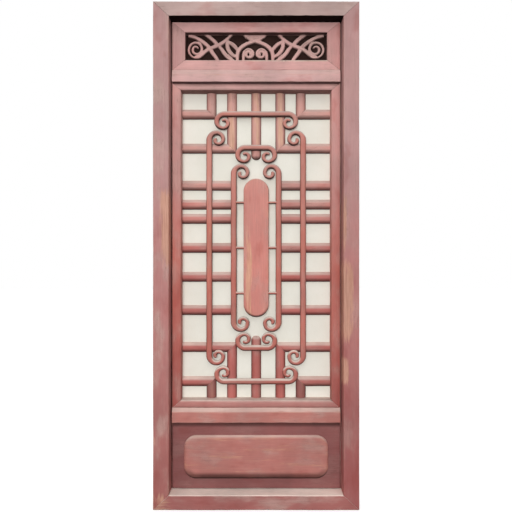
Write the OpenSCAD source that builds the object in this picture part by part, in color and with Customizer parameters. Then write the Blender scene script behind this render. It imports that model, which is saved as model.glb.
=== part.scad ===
// Timber lattice door: a fixed mitred frame and one leaf that turns on its hinge stile's pintles.
// The front faces -Y and +Z is up. The origin is the middle of the sill's underside.
// Depths are counted backwards from the frame's front face.

/* [Frame] */
// Clear width between the jambs
opening_w = 722; // [640:1:860]
// Face width of each jamb
jamb_face = 65; // [56:1:90]
// Face height of the head
head_face = 60; // [54:1:90]
// Face height of the sill
sill_face = 60; // [54:1:90]
// Length of the corner tenons past the opening
corner_tenon_l = 46; // [30:1:50]
// Height of the corner tenons
corner_tenon_h = 30; // [20:1:40]
// Thickness of the corner tenons
corner_tenon_t = 22; // [14:1:30]

/* [Leaf] */
// Depth from the frame's front to the leaf's mouldings
reveal = 50; // [30:1:80]
// Thickness of the mouldings planted on the leaf
face_t = 26; // [20:1:34]
// Thickness of the stiles and rails
core_t = 36; // [34:1:50]
// Width of each stile
stile_w = 50; // [44:1:56]
// How far the leaf laps behind the frame
lap = 22; // [20:1:26]
// Running gap between the leaf's mouldings and the jambs
leaf_gap = 6; // [3:0.5:8]
// Running gap between the leaf's mouldings and the head, and over the sill
end_gap = 2.5; // [1.5:0.5:6]
// Gap between the leaf's stiles and the back of the frame
stop_gap = 2; // [1:0.5:4]
// Height of the lower rail that shows
lower_rail_h = 60; // [44:1:80]
// Height of the upper rail that shows
upper_rail_h = 52; // [40:1:80]
// How far the two rails stand proud of the mouldings
rail_proud = 8; // [4:1:14]
// Height of the sloping top edge on the upper rail
upper_bevel_h = 21; // [8:1:26]
// Height of the sloping top edge on the lower rail
lower_bevel_h = 15; // [8:1:26]
// Height of the bottom rail behind the panel
bottom_rail_h = 62; // [50:1:90]
// How far the lower rail reaches down behind the panel
panel_lap = 24; // [16:1:40]
// Length of the rail tenons
tenon_l = 30; // [16:1:32]
// Thickness of the rail tenons
tenon_t = 12; // [8:1:16]
// Shoulder above and below each rail tenon
tenon_shoulder = 10; // [6:1:16]

/* [Pintles] */
// Diameter of the pintles
pintle_d = 26; // [20:1:30]
// Gap between the leaf's ends and the sockets
socket_gap = 4; // [2:0.5:6]
// Running clearance of a pintle in its bore, on the radius
pintle_clearance = 0.08; // [0.04:0.01:0.1]
// Width of the pintle sockets
socket_w = 110; // [90:1:120]
// Wood behind the pintle's bore
socket_wall = 14; // [8:1:24]
// Wood under the lower pintle
socket_floor = 10; // [6:1:16]
// Diameter of the pegs that hold the sockets
socket_peg_d = 9; // [6:0.5:10]
// Length of those pegs in the frame
socket_peg_l = 32; // [20:1:40]

/* [Openwork] */
// Height between the upper rail and the head
openwork_h = 206; // [180:1:260]
// Width of the side mouldings
openwork_side_w = 55; // [46:1:74]
// Width of the top moulding
openwork_top_w = 43.5; // [34:0.5:52]
// Width of the bottom moulding
openwork_bottom_w = 43.5; // [34:0.5:52]
// Crown of the mouldings' faces
openwork_crown = 2; // [1:0.5:5]
// Thickness of the carved board
carving_t = 12; // [8:1:18]
// Thickness of the dark board behind it
backing_t = 6; // [4:0.5:10]
// Width of the carved stems
stem_w = 15.5; // [10:0.5:17]
// Fillet in the corners between stems
stem_fillet = 1.5; // [0.5:0.5:3]
// Radius of the large scroll at each end
scroll_r = 34; // [28:0.5:37]
// Radius of the small bud near the middle
bud_r = 18; // [14:0.5:20]

/* [Lattice] */
// Height between the lower rail and the upper rail
lattice_h = 1376; // [1200:1:1600]
// Width of the side mouldings
lattice_side_w = 36.5; // [34:0.5:40]
// Width of the top moulding
lattice_top_w = 29; // [26:1:44]
// Width of the bottom moulding
lattice_bottom_w = 32; // [26:1:44]
// Crown of the mouldings' faces
lattice_crown = 3.5; // [2:0.5:8]
// Gap under the upper rail
shadow_gap = 3; // [1:0.5:6]
// How far the lattice lies behind the mouldings' faces
lattice_recess = 39; // [36:1:44]
// Width of the bars
bar_w = 43; // [30:1:46]
// Thickness of the bars
bar_t = 16; // [12:1:22]
// Width of the sloping edge on each side of a bar
bar_slope_w = 11; // [4:0.5:12]
// Depth of that sloping edge
bar_slope_d = 12; // [4:0.5:14]
// Length of the tenons on the bar ends
bar_tenon_l = 8; // [5:0.5:10]
// Thickness of those tenons
bar_tenon_t = 7; // [5:0.5:9]
// Width of those tenons
bar_tenon_w = 20; // [12:1:24]
// How far the pattern's middle lies below the opening's middle
pattern_drop = 10; // [0:1:20]
// Thickness of the paper
paper_t = 0.8; // [0.5:0.1:2]
// Width of paper that is glued to the lattice frame
paper_lap = 8; // [4:1:12]

/* [Scrolls] */
// Width of the scroll strips
strip_w = 24; // [20:1:30]
// Thickness of the scroll strips
strip_t = 12; // [9:0.5:16]
// Radius at the start of each curl
curl_r = 36; // [28:0.5:40]
// Radius at the eye of each curl
curl_eye_r = 7; // [5:0.5:9]
// Gap between neighbouring curls
curl_gap = 3; // [0.5:0.5:10]
// How far the middle uprights reach past the inner scroll
pendant_l = 51; // [40:1:64]

/* [Tablet] */
// Width of the centre tablet
tablet_w = 108; // [80:1:120]
// Distance from the inner scroll's end to the tablet's end
tablet_clear = 63.5; // [56:0.5:90]
// Thickness of the tablet
tablet_t = 15; // [10:1:18]
// Width of the tablet's rounded edge
tablet_edge = 6; // [3:0.5:8]
// Diameter of the tablet's pegs
tablet_peg_d = 11; // [8:0.5:12]

/* [Panel] */
// Height between the sill and the lower rail
panel_h = 286; // [220:1:380]
// How far the panel lies behind the mouldings' faces
panel_recess = 12; // [8:1:16]
// Space between the raised field and the panel's sides
field_side = 49; // [30:1:80]
// Space between the raised field and the panel's bottom
field_bottom = 45; // [30:1:70]
// Space between the raised field and the panel's top
field_top = 57; // [30:1:70]
// Thickness of the raised field
field_t = 10; // [6:0.5:11]
// Corner radius of the raised field
field_r = 52; // [30:1:70]
// Width of the raised field's rounded edge
field_edge = 12; // [4:0.5:14]

/* [Hidden] */
$fn = 72;
// How far a cut runs past the face that it starts from
overrun = 1;
// Clearance of pieces that are fitted together
fit_gap = 0.2;
// Space above the upper pintle
pintle_end_gap = 1;

// Places across the door
opening_half = opening_w / 2;
frame_half = opening_half + jamb_face;
face_half = opening_half - leaf_gap;
leaf_half = opening_half + lap;
stile_inner = leaf_half - stile_w;

// Depths from the frame's front
core_front = reveal + face_t;
core_back = core_front + core_t;
frame_depth = core_front - stop_gap;
rail_front = reveal - rail_proud;
panel_front = reveal + panel_recess;
bar_front = reveal + lattice_recess;
bar_back = bar_front + bar_t;

// Heights
lower_rail_z = sill_face + panel_h;
lattice_z = lower_rail_z + lower_rail_h;
upper_rail_z = lattice_z + lattice_h;
openwork_z = upper_rail_z + upper_rail_h;
head_z = openwork_z + openwork_h;
frame_h = head_z + head_face;
leaf_bottom = sill_face - lap;
leaf_top = head_z + lap;

// Lattice opening, and the leg of its frame that stands in the leaf's opening
lattice_half = face_half - lattice_side_w;
lattice_top_edge = upper_rail_z - shadow_gap;
lattice_low = lattice_z + lattice_bottom_w;
lattice_high = lattice_top_edge - lattice_top_w;
lattice_half_h = (lattice_high - lattice_low) / 2;
pattern_z = (lattice_low + lattice_high) / 2 - pattern_drop;
leg_w = stile_inner - fit_gap - lattice_half;

// Openwork opening
openwork_half = face_half - openwork_side_w;
openwork_low = openwork_z + openwork_bottom_w;
openwork_top_edge = head_z - end_gap;
openwork_high = openwork_top_edge - openwork_top_w;
openwork_clear_h = openwork_high - openwork_low;

// Stiles and rails: each rail's bottom and top
lattice_seat_low = lattice_low - leg_w - fit_gap;
lattice_seat_high = lattice_high + leg_w + fit_gap;
openwork_rim_low_share = 0.35;
openwork_rim_top_share = 0.4;
openwork_seat_low = openwork_low - openwork_rim_low_share * openwork_bottom_w;
openwork_seat_high = openwork_high + openwork_rim_top_share * openwork_top_w;
bottom_rail_ends = [leaf_bottom, leaf_bottom + bottom_rail_h];
lower_rail_ends = [lower_rail_z - panel_lap, lattice_seat_low];
upper_rail_ends = [lattice_seat_high, openwork_seat_low];
top_rail_ends = [openwork_seat_high, leaf_top];
rails = [bottom_rail_ends, lower_rail_ends, upper_rail_ends, top_rail_ends];

// Pintle axis, at the middle of the rounded edge of the hinge stile
pintle_r = pintle_d / 2;
pintle_x = core_t / 2 - leaf_half;
pintle_depth = core_front + core_t / 2;
bore_r = pintle_r + pintle_clearance;
socket_back = pintle_depth + bore_r + socket_wall;
upper_socket_z = leaf_top + socket_gap;
lower_socket_h = leaf_bottom - socket_gap;
peg_place_share = 0.27;
socket_peg_xs = [for (side = [-1, 1]) pintle_x + side * peg_place_share * socket_w];
upper_peg_share = 0.55;
lower_peg_share = 0.45;
upper_peg_z = upper_socket_z + upper_peg_share * (frame_h - upper_socket_z);
lower_peg_z = lower_peg_share * lower_socket_h;

// Bars of the lattice, as shares of the opening's half height and half width
row_shares = [0.879, 0.654, 0.41, 0.285, 0.191, 0, -0.191, -0.41, -0.654, -0.879];
upright_shares = [-0.605, -0.328, 0, 0.328, 0.605];
row_zs = [for (share = row_shares) pattern_z + share * lattice_half_h];
upright_xs = [for (share = upright_shares) share * lattice_half];
rows = len(row_shares);
uprights = len(upright_shares);

// Scroll strips: where the middle of each one runs
outer_x_share = 0.632;
outer_z_share = 0.875;
outer_reach_share = 0.562;
inner_x_share = 0.3025;
inner_z_share = 0.656;
inner_reach_share = 0.2795;
outer_x = outer_x_share * lattice_half;
outer_z = outer_z_share * lattice_half_h;
outer_reach = outer_reach_share * lattice_half;
inner_x = inner_x_share * lattice_half;
inner_z = inner_z_share * lattice_half_h;
inner_reach = inner_reach_share * lattice_half;
// Each curl turns a little past a full circle, and narrows to its eye
curl_turn = 400;
curl_steps = 20;
curl_ease_power = 1.6;
// Most of the narrowing is cut from the curl's outer side
curl_inset_share = 0.8;
tip_width_share = 0.47;
tip_place_share = 0.38;
eye_width_share = 0.56;
side_share = 0.45;
crown_share = 0.5;
half_turn = 180;
quarter_turn = 90;
curl_across = curl_r + curl_radius(half_turn) + strip_width(half_turn) / 2;
curl_along = curl_radius(quarter_turn) + strip_width(quarter_turn) / 2;
outer_side_reach = outer_z - curl_across - curl_gap;
inner_side_reach = inner_z - curl_across - curl_gap;

// Centre tablet
tablet_half = inner_side_reach - tablet_clear;
tablet_r = tablet_w / 2;
tablet_straight = tablet_half - tablet_r;
tablet_front = bar_front - tablet_t;
tablet_peg_depth = bar_front - strip_t / 2;
tablet_peg_share = 0.8;
tablet_peg_zs = [for (k = [-1, 0, 1]) pattern_z + k * tablet_peg_share * tablet_straight];

// Panel and its raised field
panel_low = sill_face + end_gap;
field_half = face_half - field_side;
field_low = sill_face + field_bottom;
field_high = lower_rail_z - field_top;

// Colours
jamb_red = [0.70, 0.49, 0.47];
moulding_red = [0.75, 0.57, 0.55];
bar_red = [0.78, 0.55, 0.52];
strip_red = [0.74, 0.47, 0.42];
panel_red = [0.53, 0.34, 0.32];
core_red = [0.60, 0.38, 0.35];
paper_cream = [0.90, 0.88, 0.83];
soot_brown = [0.14, 0.10, 0.09];

// Extrudes a drawing on the door's face from one depth to another
module slab(front, back) {
    translate([0, back - frame_depth / 2, 0])
        rotate([90, 0, 0])
            linear_extrude(back - front)
                children();
}

// Extrudes a plan drawing, x against depth, from one height to another
module upright_run(low, high) {
    translate([0, -frame_depth / 2, low])
        linear_extrude(high - low)
            children();
}

// Extrudes a section drawing, depth against height, from one place across the door to another
module level_run(left, right) {
    translate([left, -frame_depth / 2, 0])
        rotate([90, 0, 90])
            linear_extrude(right - left)
                children();
}

// A box between two corners, given as [x, depth, z]
module block(low, high) {
    translate(low - [0, frame_depth / 2, 0])
        cube(high - low);
}

// Outline of one mitred member: its outer edge and its inner edge run between two rectangles,
// each given as [half width, bottom, top]
function side_outline(outer, inner) =
    [[-outer[0], outer[1]], [-inner[0], inner[1]], [-inner[0], inner[2]], [-outer[0], outer[2]]];
function top_outline(outer, inner) =
    [[-outer[0], outer[2]], [-inner[0], inner[2]], [inner[0], inner[2]], [outer[0], outer[2]]];
function bottom_outline(outer, inner) =
    [[-outer[0], outer[1]], [-inner[0], inner[1]], [inner[0], inner[1]], [outer[0], outer[1]]];

frame_outer = [frame_half, 0, frame_h];
frame_inner = [opening_half, sill_face, head_z];
openwork_outer = [face_half, openwork_z, openwork_top_edge];
openwork_inner = [openwork_half, openwork_low, openwork_high];
lattice_outer = [face_half, lattice_z, lattice_top_edge];
lattice_inner = [lattice_half, lattice_low, lattice_high];
leg_outer = [lattice_half + leg_w, lattice_low - leg_w, lattice_high + leg_w];

// Fixed frame

// One corner tenon at the left, from inside the level member out into the jamb
module corner_tenon(middle_z, gap) {
    tenon_front = (frame_depth - corner_tenon_t) / 2;
    block(
        [-opening_half - corner_tenon_l - gap, tenon_front - gap, middle_z - corner_tenon_h / 2 - gap],
        [-opening_half, tenon_front + corner_tenon_t + gap, middle_z + corner_tenon_h / 2 + gap]
    );
}

head_middle = head_z + head_face / 2;
sill_middle = sill_face / 2;

module left_jamb() {
    color(jamb_red)
        difference() {
            slab(0, frame_depth) polygon(side_outline(frame_outer, frame_inner));
            corner_tenon(head_middle, fit_gap);
            corner_tenon(sill_middle, fit_gap);
        }
}

module right_jamb() {
    mirror([1, 0, 0]) left_jamb();
}

// Bores for the pegs that hold a socket
module socket_peg_bores(z) {
    for (x = socket_peg_xs)
        translate([x, frame_depth / 2 + overrun, z])
            rotate([90, 0, 0])
                cylinder(h = socket_peg_l + fit_gap + overrun, d = socket_peg_d + fit_gap);
}

module level_member(outline, middle_z, peg_z) {
    color(jamb_red)
        difference() {
            union() {
                slab(0, frame_depth) polygon(outline);
                corner_tenon(middle_z, 0);
                mirror([1, 0, 0]) corner_tenon(middle_z, 0);
            }
            socket_peg_bores(peg_z);
        }
}

module frame_head() {
    level_member(top_outline(frame_outer, frame_inner), head_middle, upper_peg_z);
}

module sill() {
    level_member(bottom_outline(frame_outer, frame_inner), sill_middle, lower_peg_z);
}

// A pintle socket: a block with the pintle's bore from one height to another
module socket(low, high, bore_low, bore_high, peg_z) {
    color(core_red)
        difference() {
            block(
                [pintle_x - socket_w / 2, frame_depth, low],
                [pintle_x + socket_w / 2, socket_back, high]
            );
            translate([pintle_x, pintle_depth - frame_depth / 2, bore_low])
                cylinder(h = bore_high - bore_low, r = bore_r);
            for (x = socket_peg_xs)
                translate([x, socket_back - frame_depth / 2 + overrun, peg_z])
                    rotate([90, 0, 0])
                        cylinder(
                            h = socket_back - frame_depth + 2 * overrun,
                            d = socket_peg_d + fit_gap
                        );
        }
}

module upper_socket() {
    socket(upper_socket_z, frame_h, upper_socket_z - overrun, frame_h + overrun, upper_peg_z);
}

module lower_socket() {
    socket(0, lower_socket_h, socket_floor, lower_socket_h + overrun, lower_peg_z);
}

module socket_pegs() {
    color(strip_red)
        for (x = socket_peg_xs, z = [upper_peg_z, lower_peg_z])
            translate([x, socket_back - frame_depth / 2, z])
                rotate([90, 0, 0])
                    cylinder(h = socket_back - frame_depth + socket_peg_l, d = socket_peg_d);
}

// Stiles and rails of the leaf

tenon_front = core_front + (core_t - tenon_t) / 2;

// The tenon on a rail's left end
module rail_tenon(ends, gap) {
    block(
        [-stile_inner - tenon_l - gap, tenon_front - gap, ends[0] + tenon_shoulder - gap],
        [-stile_inner + overrun, tenon_front + tenon_t + gap, ends[1] - tenon_shoulder + gap]
    );
}

module stile_mortises() {
    for (ends = rails)
        rail_tenon(ends, fit_gap);
}

// The hinge stile's edge is rounded about the pintles' axis, so it turns in its own place
module hinge_stile() {
    color(core_red)
        difference() {
            union() {
                block([pintle_x, core_front, leaf_bottom], [-stile_inner, core_back, leaf_top]);
                translate([pintle_x, pintle_depth - frame_depth / 2, leaf_bottom])
                    rotate([0, 0, 90])
                        rotate_extrude(angle = 180)
                            square([core_t / 2, leaf_top - leaf_bottom]);
                translate([pintle_x, pintle_depth - frame_depth / 2, socket_floor])
                    cylinder(h = frame_h - pintle_end_gap - socket_floor, r = pintle_r);
            }
            stile_mortises();
        }
}

module closing_stile() {
    color(core_red)
        mirror([1, 0, 0])
            difference() {
                block([-leaf_half, core_front, leaf_bottom], [-stile_inner, core_back, leaf_top]);
                stile_mortises();
            }
}

module plain_rail(ends) {
    block([-stile_inner, core_front, ends[0]], [stile_inner, core_back, ends[1]]);
    rail_tenon(ends, 0);
    mirror([1, 0, 0]) rail_tenon(ends, 0);
}

// The moulded rib of a middle rail, with its top edge sloped back to the crowned moulding above it
module rail_rib(low, high, bevel_h, crown) {
    level_run(-face_half, face_half)
        polygon([
            [core_front, low],
            [rail_front, low],
            [rail_front, high - bevel_h],
            [reveal + crown, high],
            [core_front, high]
        ]);
}

module top_rail() {
    color(core_red) plain_rail(top_rail_ends);
}

module bottom_rail() {
    color(core_red) plain_rail(bottom_rail_ends);
}

module upper_rail() {
    color(moulding_red)
        union() {
            plain_rail(upper_rail_ends);
            rail_rib(upper_rail_z, openwork_z, upper_bevel_h, openwork_crown);
        }
}

module lower_rail() {
    color(moulding_red)
        union() {
            plain_rail(lower_rail_ends);
            rail_rib(lower_rail_z, lattice_z, lower_bevel_h, lattice_crown);
        }
}

// Mouldings planted on the leaf

// Section of a moulding, across its width against depth, with a crowned face
module crowned_section(width, crown) {
    crown_r = (width * width / 4 + crown * crown) / (2 * crown);
    intersection() {
        square([width, face_t]);
        translate([width / 2, crown_r]) circle(crown_r, $fn = 360);
    }
}

// Section of the lattice frame's leg, which stands behind the inner edge and takes the bar ends
module leg_section() {
    translate([0, face_t]) square([leg_w, bar_back - core_front]);
}

// Left moulding of a planted frame, cut to its mitres
module side_moulding(outer, inner) {
    intersection() {
        translate([-outer[0], reveal, 0])
            upright_run(outer[1], outer[2]) children();
        slab(0, core_back) polygon(side_outline(outer, inner));
    }
}

// Bottom moulding of a planted frame: the section's width is turned to run up the door
module bottom_moulding(outer, inner) {
    intersection() {
        translate([0, reveal, outer[1]])
            level_run(-outer[0], outer[0])
                mirror([1, -1]) children();
        slab(0, core_back) polygon(bottom_outline(outer, inner));
    }
}

// Top moulding: the section's width runs down the door
module top_moulding(outer, inner) {
    intersection() {
        translate([0, reveal, outer[2]])
            level_run(-outer[0], outer[0])
                rotate(-90) children();
        slab(0, core_back) polygon(top_outline(outer, inner));
    }
}

module openwork_frame_left() {
    color(moulding_red)
        side_moulding(openwork_outer, openwork_inner)
            crowned_section(openwork_side_w, openwork_crown);
}

module openwork_frame_right() {
    mirror([1, 0, 0]) openwork_frame_left();
}

module openwork_frame_top() {
    color(moulding_red)
        top_moulding(openwork_outer, openwork_inner)
            crowned_section(openwork_top_w, openwork_crown);
}

module openwork_frame_bottom() {
    color(moulding_red)
        bottom_moulding(openwork_outer, openwork_inner)
            crowned_section(openwork_bottom_w, openwork_crown);
}

// Mortises in the lattice frame for the tenons of the cross bars and of the uprights
module row_mortises() {
    for (z = row_zs)
        bar_tenon(-lattice_half, z, fit_gap);
}

module lattice_frame_left() {
    color(moulding_red)
        difference() {
            union() {
                side_moulding(lattice_outer, lattice_inner)
                    crowned_section(lattice_side_w, lattice_crown);
                side_moulding(leg_outer, lattice_inner) leg_section();
            }
            row_mortises();
        }
}

module lattice_frame_right() {
    mirror([1, 0, 0]) lattice_frame_left();
}

module lattice_frame_top() {
    color(moulding_red)
        difference() {
            union() {
                top_moulding(lattice_outer, lattice_inner)
                    crowned_section(lattice_top_w, lattice_crown);
                top_moulding(leg_outer, lattice_inner) leg_section();
            }
            for (x = upright_xs)
                upright_tenon(x, lattice_high, 1, fit_gap);
        }
}

module lattice_frame_bottom() {
    color(moulding_red)
        difference() {
            union() {
                bottom_moulding(lattice_outer, lattice_inner)
                    crowned_section(lattice_bottom_w, lattice_crown);
                bottom_moulding(leg_outer, lattice_inner) leg_section();
            }
            for (x = upright_xs)
                upright_tenon(x, lattice_low, -1, fit_gap);
        }
}

// Carved openwork board

// A point on a smooth curve through a list of points, at a place counted in points
function curve_point(points, place) =
    let (
        last = len(points) - 1,
        i = min(floor(place), last - 1),
        t = place - i,
        before = points[max(i - 1, 0)],
        from = points[i],
        to = points[i + 1],
        after = points[min(i + 2, last)],
        leave = (to - before) / 2,
        arrive = (after - from) / 2
    )
    from + t * leave + t * t * (3 * (to - from) - 2 * leave - arrive)
        + t * t * t * (leave + arrive - 2 * (to - from));

stem_steps = 5;
stem_tip_share = 0.6;
wound_width_share = 0.85;

// A stem of the carving: a band along a list of points that narrows towards its ends
module stem(points, width_share = 1) {
    last = len(points) - 1;
    function step_from(i) = points[min(i + 1, last)] - points[max(i - 1, 0)];
    function across(i) = let (d = step_from(i)) [-d[1], d[0]] / norm(d);
    function half_w(i) =
        let (from_middle = abs(2 * i / last - 1))
        width_share * stem_w / 2 * (1 - (1 - stem_tip_share) * pow(from_middle, 3));
    polygon(concat(
        [for (i = [0:last]) points[i] + across(i) * half_w(i)],
        [for (i = [last:-1:0]) points[i] - across(i) * half_w(i)]
    ));
}

// Places in the openwork's opening: from the middle outwards, and from the bottom up
function openwork_place(shares) =
    [-shares[0] * openwork_half, openwork_low + shares[1] * openwork_clear_h];

module curved_stem(shares) {
    places = [for (share = shares) openwork_place(share)];
    stem([for (k = [0:stem_steps * (len(places) - 1)]) curve_point(places, k / stem_steps)]);
}

// A scroll: a stem that winds inwards at an even pace, from one angle, over a turn
module wound_stem(centre_shares, radius, eye_share, start, turn) {
    centre = openwork_place(centre_shares);
    winding_steps = 40;
    stem([
        for (k = [0:winding_steps])
            let (
                r = radius * (1 - (1 - eye_share) * k / winding_steps),
                a = start - turn * k / winding_steps
            )
            centre + r * [cos(a), sin(a)]
    ], wound_width_share);
}

// Stems of the left half, as shares of the opening's half width and of its height
long_stem_shares = [
    [0.965, 0.97], [0.85, 0.9], [0.74, 0.73], [0.665, 0.555], [0.61, 0.34], [0.555, 0.15], [0.51, 0]
];
short_stem_shares = [[0.72, 1], [0.64, 0.9], [0.575, 0.75], [0.535, 0.63]];
rising_stem_shares = [
    [0.87, 0.2], [0.79, 0.24], [0.71, 0.42], [0.62, 0.54], [0.525, 0.635], [0.45, 0.75], [0.39, 0.88],
    [0.33, 1]
];
falling_stem_shares = [[0.525, 0.6], [0.48, 0.36], [0.43, 0.2], [0.36, 0]];
leaf_outer_shares = [[0.405, 0.84], [0.41, 0.62], [0.385, 0.43], [0.33, 0.29], [0.27, 0.2]];
leaf_inner_shares = [[0.405, 0.8], [0.34, 0.7], [0.3, 0.57], [0.29, 0.42]];
arch_shares = [
    [0.235, 0], [0.285, 0.23], [0.295, 0.43], [0.26, 0.57], [0.185, 0.68], [0.1, 0.78], [0.04, 0.87],
    [-0.03, 1]
];
bow_shares = [[0.175, 1], [0.1, 0.95], [0.03, 0.88], [-0.04, 0.83]];
bud_stem_shares = [[0.26, 0.08], [0.19, 0.11], [0.115, 0.19]];
scroll_centre_shares = [0.858, 0.462];
bud_centre_shares = [0.116, 0.345];
scroll_eye_share = 0.27;
bud_eye_share = 0.25;
scroll_start_angle = -60;
scroll_turn = 500;
bud_start_angle = -90;
bud_turn = -560;

module openwork_stems() {
    curved_stem(long_stem_shares);
    curved_stem(short_stem_shares);
    curved_stem(rising_stem_shares);
    curved_stem(falling_stem_shares);
    curved_stem(leaf_outer_shares);
    curved_stem(leaf_inner_shares);
    curved_stem(arch_shares);
    curved_stem(bow_shares);
    curved_stem(bud_stem_shares);
    wound_stem(scroll_centre_shares, scroll_r, scroll_eye_share, scroll_start_angle, scroll_turn);
    wound_stem(bud_centre_shares, bud_r, bud_eye_share, bud_start_angle, bud_turn);
}

// Outline of the board that fills the leaf's opening behind the openwork frame
module openwork_board() {
    board_half = stile_inner - fit_gap;
    board_low = openwork_seat_low + fit_gap;
    board_high = openwork_seat_high - fit_gap;
    translate([-board_half, board_low]) square([2 * board_half, board_high - board_low]);
}

module openwork_drawing() {
    difference() {
        openwork_board();
        translate([-openwork_half, openwork_low]) square([2 * openwork_half, openwork_clear_h]);
    }
    intersection() {
        openwork_board();
        union() {
            openwork_stems();
            mirror([1, 0]) openwork_stems();
        }
    }
}

module openwork_carving() {
    color(strip_red)
        slab(core_front, core_front + carving_t)
            offset(r = -stem_fillet, $fn = 16)
                offset(r = stem_fillet, $fn = 16)
                    openwork_drawing();
}

// The dark board that closes the openwork at the back
module openwork_back() {
    carving_back = core_front + carving_t;
    color(soot_brown)
        slab(carving_back, carving_back + backing_t) openwork_board();
}

// Lattice bars

// Section of a bar, across its width against depth, with a sloping edge on each side of its face
module bar_section() {
    polygon([
        [-bar_w / 2, bar_back],
        [-bar_w / 2, bar_front + bar_slope_d],
        [bar_slope_w - bar_w / 2, bar_front],
        [bar_w / 2 - bar_slope_w, bar_front],
        [bar_w / 2, bar_front + bar_slope_d],
        [bar_w / 2, bar_back]
    ]);
}

bar_tenon_front = bar_front + (bar_t - bar_tenon_t) / 2;

// The tenon on a cross bar's left end, past the lattice frame's inner face
module bar_tenon(x, z, gap) {
    block(
        [x - bar_tenon_l - gap, bar_tenon_front - gap, z - bar_tenon_w / 2 - gap],
        [x + overrun, bar_tenon_front + bar_tenon_t + gap, z + bar_tenon_w / 2 + gap]
    );
}

// The tenon on an upright's outer end, upwards or downwards
module upright_tenon(x, z, way, gap) {
    tip = z + way * (bar_tenon_l + gap);
    root = z - way * overrun;
    block(
        [x - bar_tenon_w / 2 - gap, bar_tenon_front - gap, min(tip, root)],
        [x + bar_tenon_w / 2 + gap, bar_tenon_front + bar_tenon_t + gap, max(tip, root)]
    );
}

// Rows at the pattern's ends turn a mitred corner into an upright; the others end under the inner scroll
function row_corner(i) =
    let (from_end = min(i, rows - 1 - i))
    from_end < 2 ? upright_xs[from_end] : undef;

// A cross bar on the left, from the lattice frame to its end
module left_cross_bar(i) {
    z = row_zs[i];
    corner = row_corner(i);
    bar_end = is_undef(corner) ? -inner_x : corner + bar_w / 2;
    way = i < rows / 2 ? 1 : -1;
    difference() {
        level_run(-lattice_half, bar_end)
            translate([0, z]) mirror([1, -1]) bar_section();
        if (!is_undef(corner))
            translate([corner, 0, z])
                slab(bar_front - overrun, bar_back + overrun)
                    polygon([
                        [-bar_w / 2, way * bar_w / 2],
                        [bar_w / 2, -way * bar_w / 2],
                        [bar_w / 2 + overrun, -way * bar_w / 2],
                        [bar_w / 2 + overrun, way * (bar_w / 2 + overrun)],
                        [-bar_w / 2, way * (bar_w / 2 + overrun)]
                    ]);
    }
    bar_tenon(-lattice_half, z, 0);
}

module cross_bars(i) {
    color(bar_red) {
        left_cross_bar(i);
        mirror([1, 0, 0]) left_cross_bar(i);
    }
}

// An upright above or below the pattern. The outer ones meet a row in a mitre, and the middle one
// hangs past the inner scroll with a round end
module upright(i, way) {
    x = upright_xs[i];
    from_side = min(i, uprights - 1 - i);
    inward = x < 0 ? 1 : -1;
    row = way > 0 ? from_side : rows - 1 - from_side;
    middle = 2 * i == uprights - 1;
    frame_end = way > 0 ? lattice_high : lattice_low;
    free_end = middle ? pattern_z + way * (inner_z - pendant_l) : row_zs[row] - way * bar_w / 2;
    color(bar_red) {
        difference() {
            upright_run(min(frame_end, free_end), max(frame_end, free_end))
                translate([x, 0]) bar_section();
            if (middle)
                slab(bar_front - overrun, bar_back + overrun)
                    round_end_waste(free_end, way);
            else
                translate([x, 0, row_zs[row]])
                    slab(bar_front - overrun, bar_back + overrun)
                        polygon([
                            [-inward * bar_w / 2, way * bar_w / 2],
                            [inward * bar_w / 2, -way * bar_w / 2],
                            [inward * bar_w / 2, -way * (bar_w / 2 + overrun)],
                            [-inward * (bar_w / 2 + overrun), -way * (bar_w / 2 + overrun)],
                            [-inward * (bar_w / 2 + overrun), way * bar_w / 2]
                        ]);
        }
        upright_tenon(x, frame_end, way, 0);
    }
}

// What is cut away to round the free end of a middle upright
module round_end_waste(free_end, way) {
    end_r = bar_w / 2;
    difference() {
        translate([-end_r - overrun, way > 0 ? free_end - overrun : free_end - end_r])
            square([2 * (end_r + overrun), end_r + overrun]);
        translate([0, free_end + way * end_r]) circle(end_r);
    }
}

// Scroll strips

// Radius and strip width of a curl after some angle
function curl_radius(angle) =
    curl_r - (curl_r - curl_eye_r) * pow(angle / curl_turn, curl_ease_power)
        - curl_inset_share * (strip_w - strip_width(angle)) / 2 * (1 - angle / curl_turn);
function strip_width(angle) =
    let (t = angle / curl_turn)
    strip_w * (t < tip_place_share ? 1 - (1 - tip_width_share) * t / tip_place_share
        : tip_width_share
            + (eye_width_share - tip_width_share) * (t - tip_place_share) / (1 - tip_place_share));

// A point of a strip's middle line on its curl: along the strip, and inwards
function curl_place(reach, angle) =
    let (r = curl_radius(angle))
    [reach - curl_along + r * sin(angle), curl_r - r * cos(angle)];
function curl_heading(angle) =
    let (d = curl_place(0, min(angle + 1, curl_turn)) - curl_place(0, max(angle - 1, 0)))
    angle == 0 ? 0 : atan2(d[1], d[0]);

// Rings of a strip from end to end: along, inwards, heading and width
function curl_ring(reach, angle, way) =
    let (p = curl_place(reach, angle))
    [way * p[0], p[1], way * curl_heading(angle), strip_width(angle)];
function strip_rings(reach) = concat(
    [for (k = [curl_steps:-1:0]) curl_ring(reach, curl_turn * k / curl_steps, -1)],
    [for (k = [0:curl_steps]) curl_ring(reach, curl_turn * k / curl_steps, 1)]
);

// Section of a strip: shares of its half width, and of its thickness from the back
strip_section_shares = [
    [-1, 0], [-1, side_share], [-crown_share, 1], [crown_share, 1], [1, side_share], [1, 0]
];

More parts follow.
